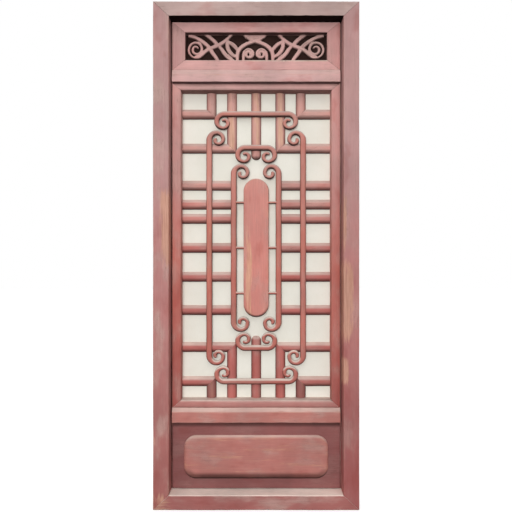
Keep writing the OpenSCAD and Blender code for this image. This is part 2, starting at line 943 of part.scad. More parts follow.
// A strip that stands along +Z with both ends curled towards +X
module scroll_strip(reach) {
    rings = strip_rings(reach);
    sides = len(strip_section_shares);
    last = len(rings) - 1;
    points = [
        for (ring = rings, share = strip_section_shares)
            let (off = share[0] * ring[3] / 2)
            [
                ring[1] + off * cos(ring[2]),
                bar_front - share[1] * strip_t - frame_depth / 2,
                ring[0] - off * sin(ring[2])
            ]
    ];
    sides_faces = [
        for (i = [0:last - 1], j = [0:sides - 1])
            let (k = (j + 1) % sides)
            [i * sides + j, (i + 1) * sides + j, (i + 1) * sides + k, i * sides + k]
    ];
    end_faces = [[for (j = [0:sides - 1]) j], [for (j = [sides - 1:-1:0]) last * sides + j]];
    color(strip_red)
        polyhedron(points = points, faces = concat(sides_faces, end_faces));
}

module side_scroll(x, reach) {
    translate([-x, 0, pattern_z]) scroll_strip(reach);
}

module level_scroll(z, reach, way) {
    translate([0, 0, pattern_z])
        upper_or_lower(way)
            translate([0, 0, z]) rotate([0, 90, 0]) scroll_strip(reach);
}

// Keeps what is drawn for the upper half, or turns it over for the lower half
module upper_or_lower(way) {
    if (way > 0)
        children();
    else
        mirror([0, 0, 1]) children();
}

// Tablet, its pegs, and the paper

// A rounded board on the door's face: its edge eases back in two steps over a width
edge_depth_share = 0.5;
edge_step_depth_share = 0.2;
edge_step_share = 0.33;

module eased_board(front, back, edge) {
    thickness = back - front;
    hull() {
        slab(front + edge_depth_share * thickness, back)
            children();
        slab(front + edge_step_depth_share * thickness, back)
            offset(delta = -edge_step_share * edge) children();
        slab(front, back)
            offset(delta = -edge) children();
    }
}

module rounded_outline(half_w, low, high, radius) {
    hull()
        for (x = [radius - half_w, half_w - radius], z = [low + radius, high - radius])
            translate([x, z]) circle(radius, $fn = 32);
}

module centre_tablet() {
    color(strip_red)
        eased_board(tablet_front, bar_front, tablet_edge)
            rounded_outline(tablet_r, pattern_z - tablet_half, pattern_z + tablet_half, tablet_r);
}

module tablet_pegs() {
    color(strip_red)
        for (z = tablet_peg_zs, side = [0, 1])
            mirror([side, 0, 0])
                translate([tablet_r, tablet_peg_depth - frame_depth / 2, z])
                    rotate([0, 90, 0])
                        cylinder(h = inner_x - strip_w / 2 - tablet_r, d = tablet_peg_d);
}

module lattice_paper() {
    half = lattice_half + paper_lap;
    low = lattice_low - paper_lap;
    color(paper_cream)
        block([-half, bar_back, low], [half, bar_back + paper_t, lattice_high + paper_lap]);
}

// Bottom panel

module bottom_panel() {
    color(panel_red)
        block([-face_half, panel_front, panel_low], [face_half, core_front, lower_rail_z]);
}

module raised_field() {
    color(strip_red)
        eased_board(panel_front - field_t, panel_front, field_edge)
            rounded_outline(field_half, field_low, field_high, field_r);
}

left_jamb();
right_jamb();
frame_head();
sill();
upper_socket();
lower_socket();
socket_pegs();
hinge_stile();
closing_stile();
top_rail();
upper_rail();
lower_rail();
bottom_rail();
openwork_frame_left();
openwork_frame_right();
openwork_frame_top();
openwork_frame_bottom();
openwork_carving();
openwork_back();
lattice_frame_left();
lattice_frame_right();
lattice_frame_top();
lattice_frame_bottom();
for (i = [1:rows])
    cross_bars(i - 1);
for (i = [1:uprights])
    upright(i - 1, 1);
for (i = [1:uprights])
    upright(i - 1, -1);
side_scroll(outer_x, outer_side_reach);  // outer_scroll_left
mirror([1, 0, 0]) side_scroll(outer_x, outer_side_reach);  // outer_scroll_right
level_scroll(outer_z, outer_reach, 1);  // outer_scroll_top
level_scroll(outer_z, outer_reach, -1);  // outer_scroll_bottom
side_scroll(inner_x, inner_side_reach);  // inner_scroll_left
mirror([1, 0, 0]) side_scroll(inner_x, inner_side_reach);  // inner_scroll_right
level_scroll(inner_z, inner_reach, 1);  // inner_scroll_top
level_scroll(inner_z, inner_reach, -1);  // inner_scroll_bottom
centre_tablet();
tablet_pegs();
lattice_paper();
bottom_panel();
raised_field();
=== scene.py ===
import math

import bpy
import numpy as np
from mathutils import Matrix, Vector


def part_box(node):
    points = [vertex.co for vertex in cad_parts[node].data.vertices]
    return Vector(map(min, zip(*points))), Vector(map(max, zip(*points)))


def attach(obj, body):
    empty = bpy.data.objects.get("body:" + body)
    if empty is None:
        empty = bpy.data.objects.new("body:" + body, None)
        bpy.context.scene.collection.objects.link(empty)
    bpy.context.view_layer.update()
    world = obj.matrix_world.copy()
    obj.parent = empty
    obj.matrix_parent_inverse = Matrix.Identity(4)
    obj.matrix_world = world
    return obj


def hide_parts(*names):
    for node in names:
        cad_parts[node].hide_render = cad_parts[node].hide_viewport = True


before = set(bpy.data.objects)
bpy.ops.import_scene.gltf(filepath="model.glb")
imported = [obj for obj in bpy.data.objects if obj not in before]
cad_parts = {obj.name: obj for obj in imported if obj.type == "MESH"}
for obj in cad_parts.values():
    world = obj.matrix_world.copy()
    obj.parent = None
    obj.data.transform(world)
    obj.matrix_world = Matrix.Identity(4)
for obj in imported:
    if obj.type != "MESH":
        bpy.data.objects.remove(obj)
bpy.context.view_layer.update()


# The fixed frame: four softwood timbers planed square, mitred at the corners over hidden tenons and
# brushed with an iron-red limewater paint. It has faded to chalk in places, hands have rubbed its inner
# edges down to tan wood, and its paint is lighter towards the top and lightest on the head.

def srgb(red, green, blue):
    """A paint-card colour in bytes as linear light: ((c + 0.055) / 1.055) ^ 2.4, or c / 12.92 near black."""
    c = np.array([red, green, blue]) / 255
    return (*np.where(c > 0.04045, ((c + 0.055) / 1.055) ** 2.4, c / 12.92).tolist(), 1.0)


def feed(tree, node, values):
    """Gives a node's inputs, by name or number, a value or another node's output, and returns its outputs."""
    for key, value in values.items():
        if isinstance(value, bpy.types.NodeSocket):
            tree.links.new(value, node.inputs[key])
        elif value is not None:
            node.inputs[key].default_value = value
    return node.outputs


def wire(tree, kind, *values, out=0, **settings):
    """Adds a shader node with its settings, feeds its inputs in order and returns one output."""
    made = tree.nodes.new(kind)
    for key, value in settings.items():
        setattr(made, key, value)
    return feed(tree, made, dict(enumerate(values)))[out]


def maths(tree, operation, *values):
    """One arithmetic step."""
    return wire(tree, "ShaderNodeMath", *values, operation=operation)


def times(tree, *values):
    """The product of two or more values."""
    product = values[0]
    for value in values[1:]:
        product = maths(tree, "MULTIPLY", product, value)
    return product


def between(tree, value, low, high, to_low=0.0, to_high=1.0):
    """A smooth step: to_low where value is under low, to_high where it is over high."""
    return wire(tree, "ShaderNodeMapRange", value, low, high, to_low, to_high, interpolation_type="SMOOTHSTEP")


def tint(tree, factor, under, over, mode="MIX"):
    """One colour laid over another by a factor."""
    made = tree.nodes.new("ShaderNodeMix")
    made.data_type, made.blend_type = "RGBA", mode
    return feed(tree, made, {0: factor, 6: under, 7: over})[2]


def mottle(tree, vector, stretch, detail, rough):
    """Cloudy noise on a vector that is first stretched along each axis."""
    spread = wire(tree, "ShaderNodeVectorMath", vector, stretch, operation="MULTIPLY")
    made = tree.nodes.new("ShaderNodeTexNoise")
    return feed(tree, made, {"Vector": spread, "Scale": 1.0, "Detail": detail, "Roughness": rough})["Fac"]


def part(tree, vector, axis):
    """A vector's part along one axis: 0 across the door, 1 into it, 2 up it."""
    return wire(tree, "ShaderNodeSeparateXYZ", vector, out=axis)


def facing_up(tree):
    """How far a face looks up, the upright part of its normal: 1 for a ledge, -1 for an underside."""
    return part(tree, wire(tree, "ShaderNodeNewGeometry", out="Normal"), 2)


def carried(tree, name):
    """A value that the mesh carries at each point."""
    return wire(tree, "ShaderNodeAttribute", out="Fac", attribute_name=name)


def worn_paint_group():
    """Old red paint on wood. The colour runs from Low to Middle to Top with height, is clouded and streaked
    along the grain, fades to chalk in places and is rubbed to bare wood on arrises and in patches. It takes
    painted shade where a piece goes deep or lies under a neighbour, dust with a painted highlight on faces that
    look up, and painted shade, near black, on faces that look down."""
    tree = bpy.data.node_groups.new("Worn paint", "ShaderNodeTree")
    for in_out, kind, names in (("INPUT", "Vector", ("Grain", "Place")), ("INPUT", "Float", ("Wear", "Patches")),
                                ("INPUT", "Color", ("Top", "Middle", "Low", "Bare")),
                                ("INPUT", "Float", ("Dust and highlight", "Fade", "Occlusion shade", "Underside shade")),
                                ("OUTPUT", "Color", ("Color",)), ("OUTPUT", "Float", ("Roughness", "Height"))):
        for name in names:
            tree.interface.new_socket(name, in_out=in_out, socket_type="NodeSocket" + kind)
    given = tree.nodes.new("NodeGroupInput").outputs
    grain, place = given["Grain"], given["Place"]
    height = part(tree, place, 2)
    paint = tint(tree, between(tree, height, 0.1, 1.0), given["Low"], given["Middle"])
    paint = tint(tree, between(tree, height, 0.95, 1.55), paint, given["Top"])
    clouds = mottle(tree, place, (5.0, 5.0, 3.5), 4.0, 0.6)
    streaks = mottle(tree, grain, (9.0, 210.0, 1.0), 5.0, 0.62)
    fibres = mottle(tree, grain, (34.0, 1150.0, 1.0), 3.0, 0.6)
    chalk = mottle(tree, grain, (6.0, 13.0, 1.0), 3.0, 0.55)
    # Chalky fading, deeper red where the paint has stayed, and streaks that follow the grain
    paint = tint(tree, times(tree, between(tree, chalk, 0.47, 0.7), given["Fade"]), paint, srgb(200, 168, 158))
    deeper = tint(tree, 1.0, paint, srgb(226, 178, 172), "MULTIPLY")
    paint = tint(tree, times(tree, between(tree, chalk, 0.47, 0.3), 0.42), paint, deeper)
    shade = times(tree, between(tree, streaks, 0.25, 0.75, 0.94, 1.05), between(tree, clouds, 0.25, 0.75, 0.84, 1.13),
                  between(tree, fibres, 0.3, 0.7, 0.98, 1.02))
    # Bare wood in long patches and along the arrises, with its own grain
    dark_grain = tint(tree, 1.0, given["Bare"], srgb(234, 220, 212), "MULTIPLY")
    wood = tint(tree, between(tree, streaks, 0.3, 0.7), dark_grain, given["Bare"])
    flaking = mottle(tree, grain, (4.2, 34.0, 1.0), 8.0, 0.7)
    reach = maths(tree, "MULTIPLY_ADD", given["Patches"], -0.4, 0.74)
    patch = between(tree, maths(tree, "SUBTRACT", flaking, reach), -0.07, 0.09)
    patch = times(tree, patch, between(tree, given["Patches"], 0.0, 0.12))
    rubbed = times(tree, given["Wear"], between(tree, flaking, 0.36, 0.62, 0.15, 1.0))
    paint = tint(tree, times(tree, patch, 0.8), paint, wood)
    paint = tint(tree, times(tree, rubbed, 0.5), paint, wood)
    # Fine splits that run with the grain
    split = maths(tree, "SUBTRACT", mottle(tree, grain, (5.0, 330.0, 1.0), 2.0, 0.5), 0.5)
    split = between(tree, maths(tree, "ABSOLUTE", split), 0.0, 0.012, 1.0, 0.0)
    split = times(tree, split, between(tree, chalk, 0.5, 0.62))
    paint = tint(tree, times(tree, split, 0.55), paint, srgb(84, 44, 38))
    # Painted shade deep in the work, dust with a painted highlight on ledges, and painted shade under them
    facing = facing_up(tree)
    # Painted shade: darker red-brown deep in the work and under neighbours, clouded a little
    occlusion_shade = times(tree, given["Occlusion shade"], between(tree, clouds, 0.3, 0.65, 0.92, 0.76))
    paint = tint(tree, occlusion_shade, paint, srgb(74, 35, 31))
    # Dust on faces that look up, which also stands as a painted highlight from above
    dust_and_painted_light = times(tree, between(tree, facing, 0.12, 0.65), given["Dust and highlight"], between(tree, clouds, 0.3, 0.6, 0.8, 1.0))
    # Painted highlight: the dust colour is paler towards the bottom and palest on the sill, whose top is shaded
    dust_and_highlight_colour = tint(tree, between(tree, height, 0.1, 1.8), srgb(224, 204, 192), srgb(200, 176, 167))
    dust_and_highlight_colour = tint(tree, between(tree, height, 0.06, 0.25), srgb(246, 226, 214), dust_and_highlight_colour)
    paint = tint(tree, dust_and_painted_light, paint, dust_and_highlight_colour)
    # Painted shade: faces that look down are tinted towards near black, as if unlit
    underside_shade = times(tree, between(tree, facing, -0.06, -0.75), given["Underside shade"])
    paint = tint(tree, underside_shade, paint, srgb(20, 10, 9))
    shaded = wire(tree, "ShaderNodeCombineColor", shade, shade, shade)
    rough = between(tree, clouds, 0.3, 0.7, 0.58, 0.78)
    for operation, mask, share in (("ADD", patch, 0.12), ("ADD", underside_shade, 0.3), ("SUBTRACT", rubbed, 0.12)):
        rough = maths(tree, operation, rough, times(tree, mask, share))
    relief = times(tree, streaks, 0.7)
    for operation, mask, share in (("ADD", fibres, 0.35), ("SUBTRACT", split, 0.8), ("SUBTRACT", patch, 0.35)):
        relief = maths(tree, operation, relief, times(tree, mask, share))
    feed(tree, tree.nodes.new("NodeGroupOutput"),
         {"Color": tint(tree, 1.0, paint, shaded, "MULTIPLY"), "Roughness": rough, "Height": relief})
    return tree


worn_paint = worn_paint_group()


def painted(name, paint, bare, patches=0.1, dust_and_painted_light=0.6, fade=0.5, along=None, patch_mask=None, occlusion_shade=None, occlusion_axis=1,
            underside_shade=0.6, gloss=0.3):
    """A red-painted timber, its paint one colour or three, for the door's top, middle and bottom: the worn paint
    on the piece's own grain map, or on Object coordinates scaled by `along`, so that the grain runs that way.
    patch_mask(tree, place) gives where patches are. Painted shade, for recesses and for parts under a neighbour,
    thickens between two depths, or two places on another axis, or is read from the mesh with 'attribute'.
    Faces that look up get dust with a painted highlight, and faces that look down get painted shade."""
    material = bpy.data.materials.new(name)
    material.use_nodes = True
    tree = material.node_tree
    coordinates = tree.nodes.new("ShaderNodeTexCoord").outputs
    place, grain = coordinates["Object"], coordinates["UV"]
    if along is not None:
        grain = wire(tree, "ShaderNodeVectorMath", place, along, operation="MULTIPLY")
    # Painted shade for recesses and parts under a neighbour, from the mesh or between two places
    if occlusion_shade == "attribute":
        occlusion_shade = carried(tree, "occlusion_shade")
    elif occlusion_shade is not None:
        occlusion_shade = between(tree, part(tree, place, occlusion_axis), *occlusion_shade)
        if occlusion_axis == 1:
            occlusion_shade = times(tree, occlusion_shade, between(tree, facing_up(tree), 0.45, 0.1))
    top, middle, low = paint if np.ndim(paint) == 2 else [paint] * 3
    group = tree.nodes.new("ShaderNodeGroup")
    group.node_tree = worn_paint
    worn = feed(tree, group, {
        "Grain": grain, "Place": place, "Wear": carried(tree, "wear"), "Occlusion shade": occlusion_shade, "Dust and highlight": dust_and_painted_light, "Fade": fade,
        "Underside shade": underside_shade, "Patches": patch_mask(tree, place) if patch_mask else patches,
        "Top": srgb(*top), "Middle": srgb(*middle), "Low": srgb(*low), "Bare": srgb(*bare)})
    relief = tree.nodes.new("ShaderNodeBump")
    raised = feed(tree, relief, {"Strength": 0.5, "Distance": 0.0012, "Height": worn["Height"]})["Normal"]
    feed(tree, tree.nodes["Principled BSDF"], {"Base Color": worn["Color"], "Roughness": worn["Roughness"],
                                               "Normal": raised, "Specular IOR Level": gloss})
    return material


def run_round(points):
    """The distance run round a closed outline to each of its points and back to the first."""
    steps = np.linalg.norm(np.roll(points, -1, 0) - points, axis=1)
    return np.concatenate([[0], np.cumsum(steps)])


def eased_outline(corners, ease, gap=0.008):
    """A closed counter-clockwise outline with each corner rounded. For a corner of half angle h the arc
    starts `ease` away from it, its radius is ease * tan(h) and its centre lies ease / cos(h) along the
    bisector. Gives points, outward normals, the arris mask and the distance run round the outline."""
    c = np.asarray(corners, float)
    ease = np.broadcast_to(np.asarray(ease, float), len(c))[:, None]
    u, v = np.roll(c, 1, 0) - c, np.roll(c, -1, 0) - c
    u /= np.linalg.norm(u, axis=1, keepdims=True)
    v /= np.linalg.norm(v, axis=1, keepdims=True)
    half = np.arccos(np.clip((u * v).sum(1), -1, 1))[:, None] / 2
    bisector = (u + v) / np.linalg.norm(u + v, axis=1, keepdims=True)
    centre = c + bisector * ease / np.cos(half)
    radius = ease * np.tan(half)
    first, last = (c + u * ease - centre) / radius, (c + v * ease - centre) / radius
    turn = np.pi - 2 * half[:, None]
    t = np.linspace(0, 1, 5)[None, :, None]
    spokes = (np.sin((1 - t) * turn) * first[:, None] + np.sin(t * turn) * last[:, None]) / np.sin(turn)
    arcs = centre[:, None] + radius[:, None] * spokes
    convex = np.sign(v[:, 0] * u[:, 1] - v[:, 1] * u[:, 0])
    sharp = (convex > 0) & (half[:, 0] < 1.4)
    points, normals, arris = [], [], []
    for i in range(len(c)):
        end, start = arcs[i, -1], arcs[(i + 1) % len(c), 0]
        length = np.linalg.norm(start - end)
        edge = min(0.0018, length / 3)
        s = np.linspace(edge, length - edge, max(2, math.ceil(length / gap)))[:, None]
        points += [arcs[i], end + v[i] * s]
        normals += [spokes[i] * convex[i], np.broadcast_to([v[i, 1], -v[i, 0]], (len(s), 2))]
        arris += [np.array([0.4, 1, 1, 1, 0.4]) * sharp[i], np.zeros(len(s))]
    points = np.concatenate(points)
    return points, np.concatenate(normals), np.concatenate(arris), run_round(points)


def ripple(seed, along, around, reach_along, reach_around):
    """Smooth hand-planed unevenness: eight sine waves of seeded length, slant and phase, summed, over 3."""
    rng = np.random.default_rng(seed)
    waves = rng.uniform(0.5, 1.7, (2, 8)) * 2 * np.pi * rng.choice([-1, 1], (2, 8))
    phase = rng.uniform(0, 2 * np.pi, 8)
    angle = along[..., None] / reach_along * waves[0] + around[..., None] / reach_around * waves[1] + phase
    return np.sin(angle).sum(-1) / 3


def timber(outline, ends, level, seed, uneven=0.0004, step=0.011, round_end=None):
    """A planed timber: its outline [across, depth] is carried along it, point = outline + normal * (unevenness
    - chips - end easing), at low(across) + t * (high(across) - low(across)), where low and high change in a
    straight line across the timber, so that they cut mitres. A level timber runs along x, an upright along z.
    round_end is 'low' or 'high': there each half of the outline is turned about the middle line's end, across =
    s * cos(q) and along = end + |s| * sin(q), so that the sloping edges run round it."""
    points, normals, arris, run = outline
    ends = np.array(ends if np.ndim(ends) == 2 else [ends, ends], float)
    across = points[:, 0]
    share = (across - across.min()) / (across.max() - across.min())
    low, high = ends[0][:, None] + (ends[1] - ends[0])[:, None] * share
    length = (high - low).max()
    ease = min(0.0008, length / 10)
    d = np.concatenate([[0], np.linspace(ease, length - ease, max(4, math.ceil(length / step))), [length]])
    place = low + (d / length)[:, None] * (high - low)
    middle, squeeze = (across.max() + across.min()) / 2, np.ones(place.shape)
    if round_end:
        radius = (across.max() - across.min()) / 2
        q = np.radians(np.linspace(87, 0, 14))[:, None]
        d = np.concatenate([np.linspace(radius, length - ease, math.ceil((length - radius) / step))[1:], [length]])
        place = np.concatenate([radius - np.abs(across - middle) * np.sin(q), d[:, None] + 0 * across])
        squeeze = np.concatenate([np.cos(q) + 0 * across, np.ones((len(d), len(across)))])
        place = low + place if round_end == "low" else (high - place)[::-1]
        squeeze = squeeze if round_end == "low" else squeeze[::-1]
    chip = 0.0014
    around = np.broadcast_to(run[:-1], place.shape)
    off = uneven * ripple(seed, place, around, 0.6, 0.13)
    chips = np.clip(ripple(seed + 1, place, around, 0.10, 0.3) - 0.6, 0, 1)
    nibbles = np.abs(ripple(seed + 2, place, around, 0.035, 0.2))
    off = off - arris * (chip * chips + 0.22 * chip * nibbles)
    square_ends = [i for i, end in ((0, "low"), (-1, "high")) if end != round_end]
    off[square_ends] -= ease
    a = middle + (across + normals[:, 0] * off - middle) * squeeze
    b = points[:, 1] + normals[:, 1] * off
    rubbed = 0.55 + 0.35 * ripple(seed + 3, place, around, 0.16, 0.5)
    wear = np.clip(arris * rubbed + arris * 1.5 * chips, 0, 1)
    wear[square_ends] = np.maximum(wear[square_ends], 0.35)
    rings = np.stack([place, b, a] if level else [a, b, place], -1)
    return {"rings": rings, "flip": level, "wear": wear, "u": place + 1.37 * seed, "v": run + 0.71 * seed}


def ring_faces(m, n):
    """The numbers of ring, point and next point for m closed rings of n points, and the four-sided faces
    between neighbouring rings."""
    i, j = np.meshgrid(np.arange(m - 1), np.arange(n), indexing="ij")
    k = (j + 1) % n
    return i, j, k, np.stack([i * n + j, i * n + k, (i + 1) * n + k, (i + 1) * n + j], -1).reshape(-1, 4)


def fit_piece(name, verts, faces, values, grain, material, body, stands_for, crease):
    """Makes a mesh piece with its values at each point and its grain map in metres, smooth but for edges that
    turn by more than `crease` degrees, and fits it to its body in place of its nodes."""
    mesh = bpy.data.meshes.new(name)
    mesh.from_pydata(verts.tolist(), [], faces)
    if grain is not None:
        mesh.uv_layers.new(name="Grain").data.foreach_set("uv", grain.astype(np.float32).ravel())
    for key, value in values.items():
        mesh.attributes.new(key, "FLOAT", "POINT").data.foreach_set("value", value.astype(np.float32).ravel())
    mesh.shade_smooth()
    mesh.set_sharp_from_angle(angle=math.radians(crease))
    mesh.materials.append(material)
    piece = bpy.data.objects.new(name, mesh)
    bpy.context.scene.collection.objects.link(piece)
    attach(piece, body)
    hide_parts(*stands_for)
    return piece


def put_piece(name, sweeps, material, body, stands_for, crease=38):
    """Makes one piece of swept timbers: faces between neighbouring rings and one across each end, with the
    grain map and the wear of each point."""
    verts, faces, grain, wear = [], [], [], []
    base = 0
    for sweep in sweeps:
        m, n = sweep["rings"].shape[:2]
        i, j, k, quads = ring_faces(m, n)
        u, v = np.broadcast_to(sweep["u"], (m, n)), sweep["v"]
        map_u = np.stack([u[i, j], u[i, k], u[i + 1, k], u[i + 1, j]], -1)
        map_v = np.stack([v[j], v[j + 1], v[j + 1], v[j]], -1)
        quad_map = np.stack([map_u, map_v], -1).reshape(-1, 4, 2)
        caps = [np.arange(n)[::-1], (m - 1) * n + np.arange(n)]
        if sweep["flip"]:
            quads, quad_map, caps = quads[:, ::-1], quad_map[:, ::-1], [cap[::-1] for cap in caps]
        flat = sweep["rings"].reshape(-1, 3)
        end_u = 0.05 * (flat[:, 0] + flat[:, 2]) + u.flat[0]
        end_v = flat[:, 1] + 0.3 * (flat[:, 0] - flat[:, 2])
        verts.append(flat)
        faces += (quads + base).tolist() + [(cap + base).tolist() for cap in caps]
        grain += [quad_map.reshape(-1, 2)] + [np.stack([end_u[cap], end_v[cap]], -1) for cap in caps]
        wear.append(np.broadcast_to(sweep["wear"], (m, n)).reshape(-1))
        base += m * n
    return fit_piece(name, np.concatenate(verts), faces, {"wear": np.concatenate(wear)}, np.concatenate(grain),
                     material, body, stands_for, crease)


def box_outline(across, depth, ease):
    """The eased outline of a square-edged timber, from the back right corner on."""
    (a0, a1), (b0, b1) = across, depth
    return eased_outline([(a1, b1), (a0, b1), (a0, b0), (a1, b0)], ease)


def mitred(outer, inner, member):
    """One member of a mitred frame between two rectangles, each given as (half width, bottom, top): its outer
    and inner edge, its ends along the left or lower edge and along the other one, and whether it is level."""
    at, side = {"left": (0, -1), "right": (0, 1), "bottom": (1, 1), "top": (2, 1)}[member]
    edges = (side * outer[at], side * inner[at])
    ends = [(-half, half) if at else (low, high) for half, low, high in (outer, inner)]
    return edges, ends if edges[0] < edges[1] else ends[::-1], at > 0


def frame_patches(tree, place):
    """Hands have rubbed the jambs' inner edges to tan wood: at the left from hip to chest height, at the
    right about hip height. The bottom corner at the left and a spot above it are bare too. Each spot has its
    side, the distances from the middle where it is nought and full, and its heights."""
    x, z = part(tree, place, 0), part(tree, place, 2)
    bare = 0.1
    for side, none_x, full_x, low, full_low, full_high, high, amount in (
        (-1, 0.420, 0.380, 0.90, 1.08, 1.26, 1.40, 0.9),
        (1, 0.420, 0.380, 0.62, 0.76, 0.96, 1.10, 0.95),
        (1, 0.395, 0.364, 1.00, 1.10, 1.24, 1.36, 0.6),
        (1, 0.395, 0.370, 0.48, 0.55, 0.60, 0.66, 0.85),
        (-1, 0.398, 0.420, 0.17, 0.23, 0.28, 0.34, 0.7),
        (-1, 0.28, 0.40, -0.05, -0.01, 0.04, 0.10, 0.6),
    ):
        out = times(tree, x, side)
        spot = times(tree, between(tree, out, none_x, full_x), between(tree, out, 0.0, 0.1),
                     between(tree, z, low, full_low), between(tree, z, high, full_high, 0.0, amount))
        bare = maths(tree, "MAXIMUM", spot, bare)
    return bare


frame_red = painted("Frame red", [(184, 142, 139), (184, 126, 122), (166, 102, 97)], (214, 166, 144), dust_and_painted_light=1.2,
                    fade=0.55, patch_mask=frame_patches)
right_jamb_red = painted("Right jamb red", [(184, 142, 139), (184, 124, 120), (160, 92, 89)], (214, 166, 144),
                         dust_and_painted_light=0.95, fade=0.3, patch_mask=frame_patches)
# The head's underside is painted near black: painted shade.
head_red = painted("Head red", (194, 167, 161), (208, 172, 156), dust_and_painted_light=0.9, fade=0.4, underside_shade=1.0, gloss=0.05)
jamb_low, jamb_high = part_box("left_jamb")
frame_depth, frame_ease = (jamb_low.y, jamb_high.y), 0.0022
frame_outer = (-jamb_low.x, 0, jamb_high.z)
frame_inner = (-jamb_high.x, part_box("sill")[1].z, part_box("frame_head")[0].z)
for node, member, paint, seed in (("left_jamb", "left", frame_red, 11), ("right_jamb", "right", right_jamb_red, 12),
                                  ("frame_head", "top", head_red, 13), ("sill", "bottom", frame_red, 14)):
    edges, ends, level = mitred(frame_outer, frame_inner, member)
    put_piece(node + "_timber", [timber(box_outline(sorted(edges), frame_depth, frame_ease), ends, level, seed)],
              paint, "frame", [node])


# The pintle sockets: two oak blocks pegged to the back of the head and of the sill, bored for the pintles.
# They are bare wood, greyed and blackened by handling, with the pegs' end grain flush at the back.
socket_wood = painted("Socket wood", [(132, 92, 76), (128, 88, 74), (116, 78, 66)], (150, 112, 88), patches=0.25,
                      dust_and_painted_light=0.35, fade=0.15, along=(1.0, 1.0, 1.0))
peg_wood = painted("Peg wood", [(158, 120, 92), (158, 120, 92), (150, 112, 86)], (176, 136, 104), patches=0.3,
                   dust_and_painted_light=0.2, fade=0.1, along=(6.0, 0.4, 1.0))


def ease_solid(node, width, material):
    """Gives a CAD solid its finish and small rounded arrises, and keeps its form."""
    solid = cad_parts[node]
    solid.data.materials.clear()
    solid.data.materials.append(material)
    joined = solid.modifiers.new("Joined", "WELD")
    joined.merge_threshold = 1e-5
    eased = solid.modifiers.new("Eased", "BEVEL")
    eased.width, eased.segments, eased.angle_limit = width, 2, math.radians(40)
    eased.limit_method = "ANGLE"


socket_ease, peg_ease = 0.0016, 0.0005
for node in ("upper_socket", "lower_socket"):
    ease_solid(node, socket_ease, socket_wood)
ease_solid("socket_pegs", peg_ease, peg_wood)


# The leaf's stiles and plain rails: the joined core of the leaf, tenoned together behind the mouldings.
# The hinge stile's edge is planed round about the pintles, which are turned out of the same timber.
core_red = painted("Core red", [(170, 126, 118), (160, 104, 96), (146, 90, 84)], (186, 142, 118), patches=0.2,
                   dust_and_painted_light=0.5, fade=0.4)
hinge_low, hinge_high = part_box("hinge_stile")
close_low, close_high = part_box("closing_stile")
core_depth = (close_low.y, close_high.y)
leaf_low, leaf_high = close_low.z, close_high.z
stile_inner, stile_ease, rail_ease = close_low.x, 0.002, 0.0018
put_piece("closing_stile_timber", [timber(box_outline((stile_inner, close_high.x), core_depth, stile_ease),
                                          (leaf_low, leaf_high), False, 21)],
          core_red, "leaf", ["closing_stile"])


def round_edged_outline(inner, edge, depth, ease):
    """The hinge stile's outline: square and eased at its inner edge, half a circle about the pintle's axis
    at its outer one, axis + radius * (cos a, sin a)."""
    b0, b1 = depth
    radius = (b1 - b0) / 2
    axis = (edge + radius, (b0 + b1) / 2)
    turn = np.linspace(np.pi / 2, 3 * np.pi / 2, 28)
    spokes = np.stack([np.cos(turn), np.sin(turn)], -1)
    points, normals, arris, _ = eased_outline([(inner, b1), (axis[0], b1), (axis[0], b0), (inner, b0)], ease)
    square = points[:, 0] > axis[0] + 0.003
    first = square & (np.arange(len(points)) < np.argmin(square))
    last = square & ~first
    points, normals, arris = (np.concatenate([values[first], arc, values[last]]) for values, arc in (
        (points, np.array(axis) + radius * spokes), (normals, spokes), (arris, np.zeros(len(turn)))))
    return points, normals, arris, run_round(points)


def turned(axis, profile, sides, seed):
    """A turned piece: radius r at height z, point = axis + r * (cos a, sin a), z, closed by a face at each end."""
    profile = np.asarray(profile, float)
    a = np.linspace(0, 2 * np.pi, sides, endpoint=False)
    r, z = profile[:, :1], np.broadcast_to(profile[:, 1:], (len(profile), sides))
    rings = np.stack([axis[0] + r * np.cos(a), axis[1] + r * np.sin(a), z], -1)
    run = np.linspace(0, 2 * np.pi * profile[:, 0].max(), sides + 1)
    return {"rings": rings, "flip": False, "wear": np.full(z.shape, 0.25), "u": z + seed, "v": run + seed}


pintle_r, pintle_ease, pintle_root = 0.013, 0.0015, 0.01
pintle_axis = (hinge_low.x + (core_depth[1] - core_depth[0]) / 2, (core_depth[0] + core_depth[1]) / 2)
upper_pintle = [(pintle_r, leaf_high - pintle_root), (pintle_r, hinge_high.z - pintle_ease),
                (pintle_r - pintle_ease, hinge_high.z)]
lower_pintle = [(pintle_r - pintle_ease, hinge_low.z), (pintle_r, hinge_low.z + pintle_ease),
                (pintle_r, leaf_low + pintle_root)]
hinge_outline = round_edged_outline(-stile_inner, hinge_low.x, core_depth, stile_ease)
pintles = [turned(pintle_axis, upper_pintle, 40, 3.1), turned(pintle_axis, lower_pintle, 40, 3.7)]
put_piece("hinge_stile_timber", [timber(hinge_outline, (leaf_low, leaf_high), False, 22)] + pintles,
          core_red, "leaf", ["hinge_stile"])
for name, seed in (("top_rail", 23), ("bottom_rail", 24)):
    low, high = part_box(name)
    put_piece(name + "_timber", [timber(box_outline((low.z, high.z), core_depth, rail_ease),
                                        (-stile_inner, stile_inner), True, seed)],
              core_red, "leaf", [name])


